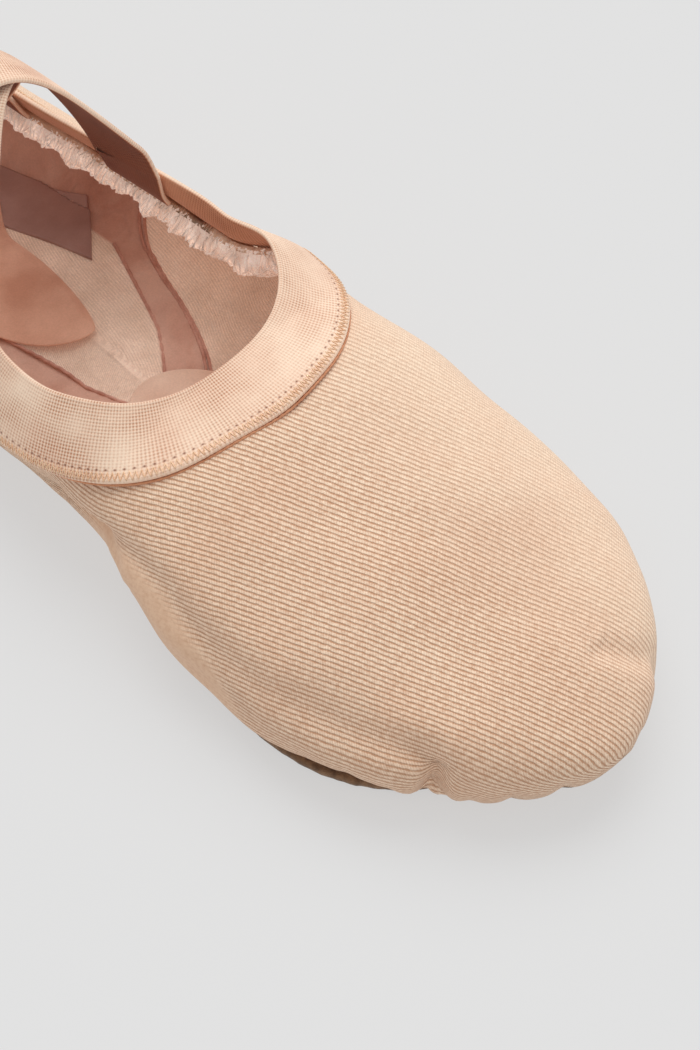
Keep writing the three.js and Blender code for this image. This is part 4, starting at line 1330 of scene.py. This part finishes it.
def through_rings(rings, per_span):
    """More rings between the given ones, on a smooth curve through them."""
    padded = [2 * rings[0] - rings[1], *rings, 2 * rings[-1] - rings[-2]]
    out = []
    for i in range(1, len(padded) - 2):
        p = padded[i - 1:i + 3]
        out += [between(p, f) for f in np.arange(per_span) / per_span]
    return np.array(out + [rings[-1]])


# %% Both straps
def build_strap(name, node, side, lower):
    front = [sewn_ring(STRAP_FRONT_FROM_TOE, side, d) for d in SEWN_DEPTHS]
    rear = [sewn_ring(STRAP_REAR_FROM_TOE, -side, d) for d in SEWN_DEPTHS][::-1]
    # Both ends list their profile from the front selvedge to the rear one
    rings = through_rings(front + free_rings(front[-1], rear[0], side, lower) + rear, 5)
    count = rings.shape[1]
    gone = travelled(rings.mean(1))
    w, t = STRAP_PROFILE.T
    # The third number is 2 on the strap's inner face, which the elastic's material paints darkest as shade
    cloth = np.stack(np.broadcast_arrays(gone[:, None], (w * STRAP_WIDTH / 2)[None],
                                         2.0 * (t < -0.8)[None]), -1)
    faces = grid_faces(len(rings), count, close_columns=True)
    if side < 0:
        faces = faces[:, ::-1]
    caps = [list(range(count)), list(range((len(rings) - 1) * count, len(rings) * count))[::-1]]
    if side > 0:
        caps = [c[::-1] for c in caps]
    return make_piece(name, rings.reshape(-1, 3), faces.tolist() + caps, elastic_cloth,
                      cloth.reshape(-1, 3), [node])


strap_over = build_strap("elastic_strap_over", "strap_over", 1, 0.0)
strap_under = build_strap("elastic_strap_under", "strap_under", -1,
                          ELASTIC_THICKNESS + STRAP_CROSSING_GAP)

# %% [markdown]
# ## Sole patches and socks
# The two sole patches are cut from suede 1.8 mm thick, with edges that rubbing has rounded. The
# socks are thin cloth that follows the floor inside. All four are flat shapes with an oval
# outline, so one helper lays rings of points from the outline in to its middle line.

# %% Outlines
HEEL_SOLE = {"back": -111.0, "front": -54.0, "half": 24.0}
FORE_SOCK = {"back": -11.0, "front": 103.0, "half": 31.0}
HEEL_SOCK = {"back": -106.0, "front": -25.0, "half": 17.5}
HEEL_WIDEST = 0.45
HEEL_CORNER = (2.1, 2.3)
SUEDE_THICKNESS, SOCK_THICKNESS, CLEARANCE = 1.8, 1.2, 0.3
OUTLINE_COUNT = 200


def outline(part, inset, at_heel):
    """Points in plan round a patch or sock, drawn smaller by inset."""
    back, front = part["back"] + inset, part["front"] - inset
    length = part["front"] - part["back"]
    widest = part["back"] + HEEL_WIDEST * length if at_heel else part["front"] - FORE_WIDEST * length
    corner = HEEL_CORNER if at_heel else FORE_CORNER
    turn = np.arange(OUTLINE_COUNT) / OUTLINE_COUNT * 2 * np.pi
    c, v = np.cos(turn), np.sin(turn)
    power = 2 / np.where(c > 0, *corner)
    reach = np.where(c > 0, front - widest, widest - back)
    return np.stack([widest + reach * signed_power(c, power),
                     (part["half"] - inset) * signed_power(v, power)], -1)


def ring_solid(rings):
    """A closed skin through rings of equal count; each end ring is closed from side to side."""
    count = len(rings[0])
    faces = grid_faces(len(rings), count, close_columns=True).tolist()
    last = (len(rings) - 1) * count
    for i in range(count // 2):
        order = [i, i + 1, count - i - 1, (count - i) % count]
        cap = [v for k, v in enumerate(order) if v not in order[:k]]
        if len(cap) > 2:
            faces.append(cap)
            faces.append([last + v for v in reversed(cap)])
    return np.concatenate(rings), faces


# %% Suede patches
EDGE_ROUND = 0.5
EDGE_TUCK = 1.0


def build_sole(name, node, part, at_heel):
    deepest = part["half"] - 1.5
    inner = list(np.linspace(deepest, 1.2, 16)) + [EDGE_ROUND]
    levels = ([(inset, SUEDE_THICKNESS) for inset in inner]
              + [(0.12, SUEDE_THICKNESS - 0.18), (0.0, SUEDE_THICKNESS / 2), (0.12, 0.18)]
              + [(inset, 0.0) for inset in inner[::-1]])
    rings = []
    for inset, z in levels:
        plan = outline(part, inset, at_heel) * (1, 1 - EDGE_TUCK / part["half"])
        rough = 0.1 * soft_noise(plan, 3.2, 11) * (inset < 1)
        rings.append(np.column_stack([plan * (1 + rough[:, None] / 60), np.full(len(plan), z)]))
    points, faces = ring_solid(rings)
    return make_piece(name, points, faces, suede, replaces=[node])


forefoot_patch = build_sole("suede_forefoot", "forefoot_sole", FORE_SOLE, False)
heel_patch = build_sole("suede_heel", "heel_sole", HEEL_SOLE, True)


# %% Socks
def floor_place(x, y):
    """The run and angle of a point of the lower half of the last, seen from above."""
    at = (x + HALF) / LENGTH
    s = section(at)
    share = np.clip(np.abs(y) / s["half"], 0, 1)
    lower = np.arcsin(np.clip(1 - share ** UNDERSIDE_POWER, 0, 1) ** 0.5)
    return run_of(at), np.where(y < 0, -lower, np.pi + lower)


def build_sock(name, node, part, at_heel, material, seed, far_share, tip_lift):
    """A thin sock. far_share: how much of its far half has crept in. tip_lift: how far its end lifts."""
    deepest = part["half"] - 1.2
    inner = list(np.linspace(deepest, 3.5, 15)) + [2.2, 1.2, 0.6, 0.25]
    low = -CANVAS_WALL - CLEARANCE
    levels = ([(inset, 1.0) for inset in inner] + [(0.05, 0.7), (0.0, 0.5), (0.05, 0.3)]
              + [(inset, 0.0) for inset in inner[::-1]])
    rings = []
    for inset, rise in levels:
        plan = outline(part, inset, at_heel)
        ahead = smooth_step(plan[:, 0], part["back"] + 30, part["front"] - 30)
        plan[:, 1] *= np.where(plan[:, 1] > 0, 1 - (1 - far_share) * ahead, 1)
        thick = SOCK_THICKNESS * (0.4 + 0.6 * smooth_step(inset, 0, 5))
        curl = 0.3 * (1 + soft_noise(plan, 20, seed)) * math.exp(-inset / 3)
        tip = tip_lift * smooth_step(plan[:, 0], part["front"] - 9, part["front"]) * (plan[:, 1] < 2)
        wave = 0.22 * (1 + soft_noise(plan, 13, seed + 1)) * min(1, inset / 3)
        off = low - thick * rise - curl - tip - wave * rise
        rings.append(grown(*floor_place(plan[:, 0], plan[:, 1]), off))
    points, faces = ring_solid(rings)
    return make_piece(name, points, faces, material, replaces=[node])


forefoot_sock = build_sock("cloth_forefoot_sock", "forefoot_sock", FORE_SOCK, False, sock_cloth, 21, 1.0, 0.0)
heel_sock = build_sock("cloth_heel_sock", "heel_sock", HEEL_SOCK, True, heel_cloth, 31, 0.45, 0.7)

# %% [markdown]
# ## The serged edge
# Inside the collar the raw edge of the canvas is overlocked with pale thread. The elastic was
# stretched while it was sewn, so this edge ruffles when the elastic relaxes, most of all near the
# throat. A noisy texture could stand for the loops, but they stand out against the lining, so it
# is made in two layers: a soft ruffled roll that follows the canvas edge, and short threads that
# wrap over it and loop out of it, all in one mesh.

# %% The ruffled roll
ROLL_ROUND = 720
ROLL_PROFILE = ((9.9, -0.35), (9.6, -0.9), (9.6, -1.6), (10.0, -2.2), (11.0, -2.5), (12.2, -2.55),
                (13.4, -2.5), (14.4, -2.3), (15.1, -1.95), (15.3, -1.62), (14.0, -1.58), (12.0, -1.58),
                (10.6, -1.58), (10.15, -1.4), (10.1, -0.8))
FULL_AROUND, FULL_WIDTH = 0.14, 0.055


def ruffle(around):
    """How far the serged edge stands out, how it wanders up and down, and how full it is."""
    way = around * 2 * np.pi
    out = 0.5 * np.sin(31 * way + 1.2) + 0.4 * np.sin(47 * way + 0.4) + 0.25 * np.sin(83 * way)
    updown = 0.6 * np.sin(23 * way + 0.3) + 0.4 * np.sin(37 * way + 1.9)
    full = 1.1 + 0.75 * np.exp(-(((around - FULL_AROUND) / FULL_WIDTH) ** 2)) + 0.2 * np.sin(13 * way)
    return out, updown, full


def on_roll(around, depth, grow):
    out, updown, full = ruffle(np.asarray(around) % 1)
    inner = np.clip((-grow - 1.6) / 0.9, 0, 1)
    depth = 10.0 + (depth - 9.6) * (0.75 + 0.3 * full) + updown * 0.7 * smooth_step(depth, 9.6, 11)
    return on_collar(around, depth, grow - (full * inner + np.maximum(0, out + 0.4) * inner))


def build_roll():
    around = np.arange(ROLL_ROUND) / ROLL_ROUND
    rows = [on_roll(around, np.full(ROLL_ROUND, d), np.full(ROLL_ROUND, g)) for d, g in ROLL_PROFILE]
    faces = grid_faces(len(rows), ROLL_ROUND, close_rows=True, close_columns=True)[:, ::-1]
    return make_piece("serged_roll", np.concatenate(rows), faces.tolist(), serging_thread)


serged_roll = build_roll()

# %% The threads that wrap over it
WRAP_COUNT = 400
WRAP_RADIUS = 0.2
LOOSE_COUNT = 1050


def build_wraps():
    draw = np.random.default_rng(5)
    path = np.array(ROLL_PROFILE[:10])
    steps = len(path)
    tubes, ups = [], []
    for lean in (0.0035, -0.003):
        start = (np.arange(WRAP_COUNT) + draw.uniform(-0.35, 0.35, WRAP_COUNT)) / WRAP_COUNT
        share = np.linspace(0, 1, steps)[None, :]
        around = start[:, None] + lean * share + draw.normal(0, 0.0009, (WRAP_COUNT, steps))
        depth = np.broadcast_to(path[None, :, 0], around.shape) + draw.normal(0, 0.28, around.shape)
        grow = np.broadcast_to(path[None, :, 1], around.shape) - draw.uniform(0.05, 0.45, around.shape)
        tubes.append(on_roll(around, depth, grow))
        ups.append(-normal_at(*collar_place(around, depth)))
    # Loose loops of the same thread, which make the edge look woolly
    t = np.linspace(0, 1, steps)[None, :]
    start = draw.uniform(0, 1, (LOOSE_COUNT, 1))
    around = start + draw.uniform(-0.007, 0.007, (LOOSE_COUNT, 1)) * t
    depth = draw.uniform(9.8, 15.0, (LOOSE_COUNT, 1)) + draw.uniform(-1.2, 1.2, (LOOSE_COUNT, 1)) * t
    tall = draw.uniform(0.2, 0.75, (LOOSE_COUNT, 1))
    tubes.append(on_roll(around, depth, -2.35 - tall * np.sin(np.pi * t)))
    ups.append(-normal_at(*collar_place(around, depth)))
    points, faces = thread_tubes(np.concatenate(tubes), np.concatenate(ups), WRAP_RADIUS, 5)
    return make_piece("serging_wraps", points, faces, serging_thread)


serging_wraps = build_wraps()

# %% [markdown]
# ## Stitches on the collar
# The band is sewn down with a zigzag just above its lower edge, and a darker seam shows where the
# selvedge meets the canvas. Both are single long threads, so each is one closed tube.

# %% Zigzag and seam
ZIGZAG_STEP_MM = 0.42
ZIGZAG_TOP, ZIGZAG_BOTTOM = 13.4, 15.1
ZIGZAG_RADIUS, ZIGZAG_PER_STITCH = 0.12, 4
LOWER_LONGER = 1.17  # how much longer the band's lower edge is than its top edge
SEAM_ROUND, SEAM_STITCHES, SEAM_RADIUS = 1400, 260, 0.28


def long_thread(name, around, depth, line, radius, sides, material):
    """One closed thread along a line of points round the collar."""
    up = normal_at(*collar_place(around, depth))[None]
    points, faces = thread_tubes(line[None], up, radius, sides, closed=True)
    return make_piece(name, points, faces, material)


def build_zigzag():
    corners = int(COLLAR_MM * LOWER_LONGER / ZIGZAG_STEP_MM / 2) * 2
    t = np.arange(corners * ZIGZAG_PER_STITCH) / ZIGZAG_PER_STITCH
    swing = np.abs((t / 2 % 1) * 2 - 1)
    around = t / corners
    depth = ZIGZAG_TOP + (ZIGZAG_BOTTOM - ZIGZAG_TOP) * swing
    line = on_band(around, depth, 0.03 + 0.08 * np.sin(np.pi * swing))
    return long_thread("zigzag_stitch", around, depth, line, ZIGZAG_RADIUS, 5, zigzag_thread)


def build_edge_seam():
    around = np.arange(SEAM_ROUND) / SEAM_ROUND
    depth = BAND_WIDTH + 0.12 + edge_wave(around)
    line = on_collar(around, depth, 0.42 + 0.08 * np.sin(around * 2 * np.pi * SEAM_STITCHES))
    return long_thread("collar_edge_seam", around, depth, line, SEAM_RADIUS, 6, seam_thread)


zigzag = build_zigzag()
edge_seam = build_edge_seam()

# %% [markdown]
# ## Seam and label inside
# Behind a curved seam the inside of the slipper is lined. The seam shows as two cords of folded
# cloth on the wall, and one more runs along each edge of the insert. They are tubes along the same
# paths that the lining's material uses, so that both always agree. A small satin label lies on the
# far wall: a thin sheet with a slight bend.

# %% Cords on the lining
CORD_STEPS, CORD_RADIUS, CORD_SIDES = 180, 0.38, 8
CORD_GAP = 1.5
PUCKER_MM, PUCKER_EVERY_MM = 0.12, 2.4


def build_lining_seam():
    """Cords along the lining's edges: two side by side on the curved seam, one on each insert edge."""
    far = np.array(LINING_SEAM)
    ring = np.concatenate([far, far[-2::-1] * (1, -1)])
    curve = catmull_rom(ring, 12)[:(len(ring) - 1) * 12]
    paths = [(curve, 0.0), (curve + (CORD_GAP, 0), 0.0), (np.array(INSERT_NEAR), -0.3),
             (np.array(INSERT_FAR), 0.3)]
    tubes, ups = [], []
    for path, shift in paths:
        gone = travelled(path)
        wanted = np.linspace(0, gone[-1], CORD_STEPS)
        x, y = (np.interp(wanted, gone, path[:, k]) for k in range(2))
        y = np.where(np.abs(y) < 0.05, 0.05, y) + shift
        run, angle = floor_place(x, y)
        pucker = PUCKER_MM * np.sin(wanted * 2 * np.pi / PUCKER_EVERY_MM)
        tubes.append(grown(run, angle, -CANVAS_WALL - 0.12 + pucker))
        ups.append(-normal_at(run, angle))
    points, faces = thread_tubes(np.array(tubes), np.array(ups), CORD_RADIUS, CORD_SIDES)
    return make_piece("lining_seam", points, faces, lining_seam_cloth)


lining_seam = build_lining_seam()

# %% The bare label
# Corners in plan: front at the floor, front up the wall, then the two behind them
LABEL_CORNERS = np.array([(-39.9, 14.1), (-53.3, 26.4), (-64.0, 9.0), (-77.0, 19.5)])
LABEL_GRID = (50, 36)


def build_label():
    u, v = np.meshgrid(*(np.linspace(0, 1, n) for n in LABEL_GRID), indexing="ij")
    a, b, c, d = LABEL_CORNERS
    place = ((a * (1 - v[..., None]) + b * v[..., None]) * (1 - u[..., None])
             + (c * (1 - v[..., None]) + d * v[..., None]) * u[..., None])
    run, angle = floor_place(place[..., 0], place[..., 1])
    bend = 0.25 * (1 + soft_noise(np.stack([u * 26, v * 20], -1), 14, 8))
    edge = np.minimum(np.minimum(u, 1 - u) * 10, np.minimum(v, 1 - v) * 10).clip(0, 1)
    top = grown(run, angle, -CANVAS_WALL - 0.45 - bend)
    low = grown(run, angle, -CANVAS_WALL - 0.1 - bend * 0.9 * edge)
    return make_piece("bare_label", np.concatenate([low.reshape(-1, 3), top.reshape(-1, 3)]),
                      both_skins(grid_faces(*LABEL_GRID).tolist(), u.size), label_satin)


bare_label = build_label()

# %% [markdown]
# ## Floor and light
# The photograph is a plain studio picture on pale grey, lit by a broad soft light from behind and
# above and filled from everywhere else. A wide sun gives the same soft shadow at every distance,
# and the world gives the fill. The floor is a light table: it glows a little by itself, so that
# the shadow on it stays as faint as in the photograph and the flanks are lit from below.

# %% Floor, sun and world
FLOOR_HALF = 4.0
FLOOR_GREY, FLOOR_GLOW = 0.22, 0.525
SUN_STRENGTH, SUN_ANGLE = 1.72, math.radians(55)
SUN_AZIMUTH, SUN_HEIGHT = math.radians(135), math.radians(58)
WORLD_STRENGTH = 0.6


def build_stage():
    corners = FLOOR_HALF * np.array([(-1, -1, 0), (1, -1, 0), (1, 1, 0), (-1, 1, 0)])
    mesh = bpy.data.meshes.new("floor")
    mesh.from_pydata(corners.tolist(), [], [(0, 1, 2, 3)])
    floor = bpy.data.objects.new("floor", mesh)
    bpy.context.scene.collection.objects.link(floor)
    paper = bpy.data.materials.new("paper")
    paper.use_nodes = True
    shader = paper.node_tree.nodes["Principled BSDF"]
    shader.inputs["Base Color"].default_value = (FLOOR_GREY, FLOOR_GREY, FLOOR_GREY, 1)
    shader.inputs["Roughness"].default_value = 1.0
    shader.inputs["Specular IOR Level"].default_value = 0.0
    shader.inputs["Emission Color"].default_value = (1, 1, 1, 1)
    shader.inputs["Emission Strength"].default_value = FLOOR_GLOW
    mesh.materials.append(paper)
    sun = bpy.data.lights.new("sun", "SUN")
    sun.energy = SUN_STRENGTH
    sun.angle = SUN_ANGLE
    lamp = bpy.data.objects.new("sun", sun)
    toward = Vector((math.cos(SUN_AZIMUTH) * math.cos(SUN_HEIGHT),
                     math.sin(SUN_AZIMUTH) * math.cos(SUN_HEIGHT), math.sin(SUN_HEIGHT)))
    lamp.rotation_euler = toward.to_track_quat("Z", "Y").to_euler()
    bpy.context.scene.collection.objects.link(lamp)
    world = bpy.data.worlds.new("studio")
    world.use_nodes = True
    sky = world.node_tree.nodes["Background"]
    sky.inputs["Color"].default_value = (1, 1, 1, 1)
    sky.inputs["Strength"].default_value = WORLD_STRENGTH
    bpy.context.scene.world = world
    bpy.context.scene.view_settings.view_transform = "Standard"


build_stage()
print("the sun's strength is", SUN_STRENGTH, "and the floor's glow", FLOOR_GLOW)
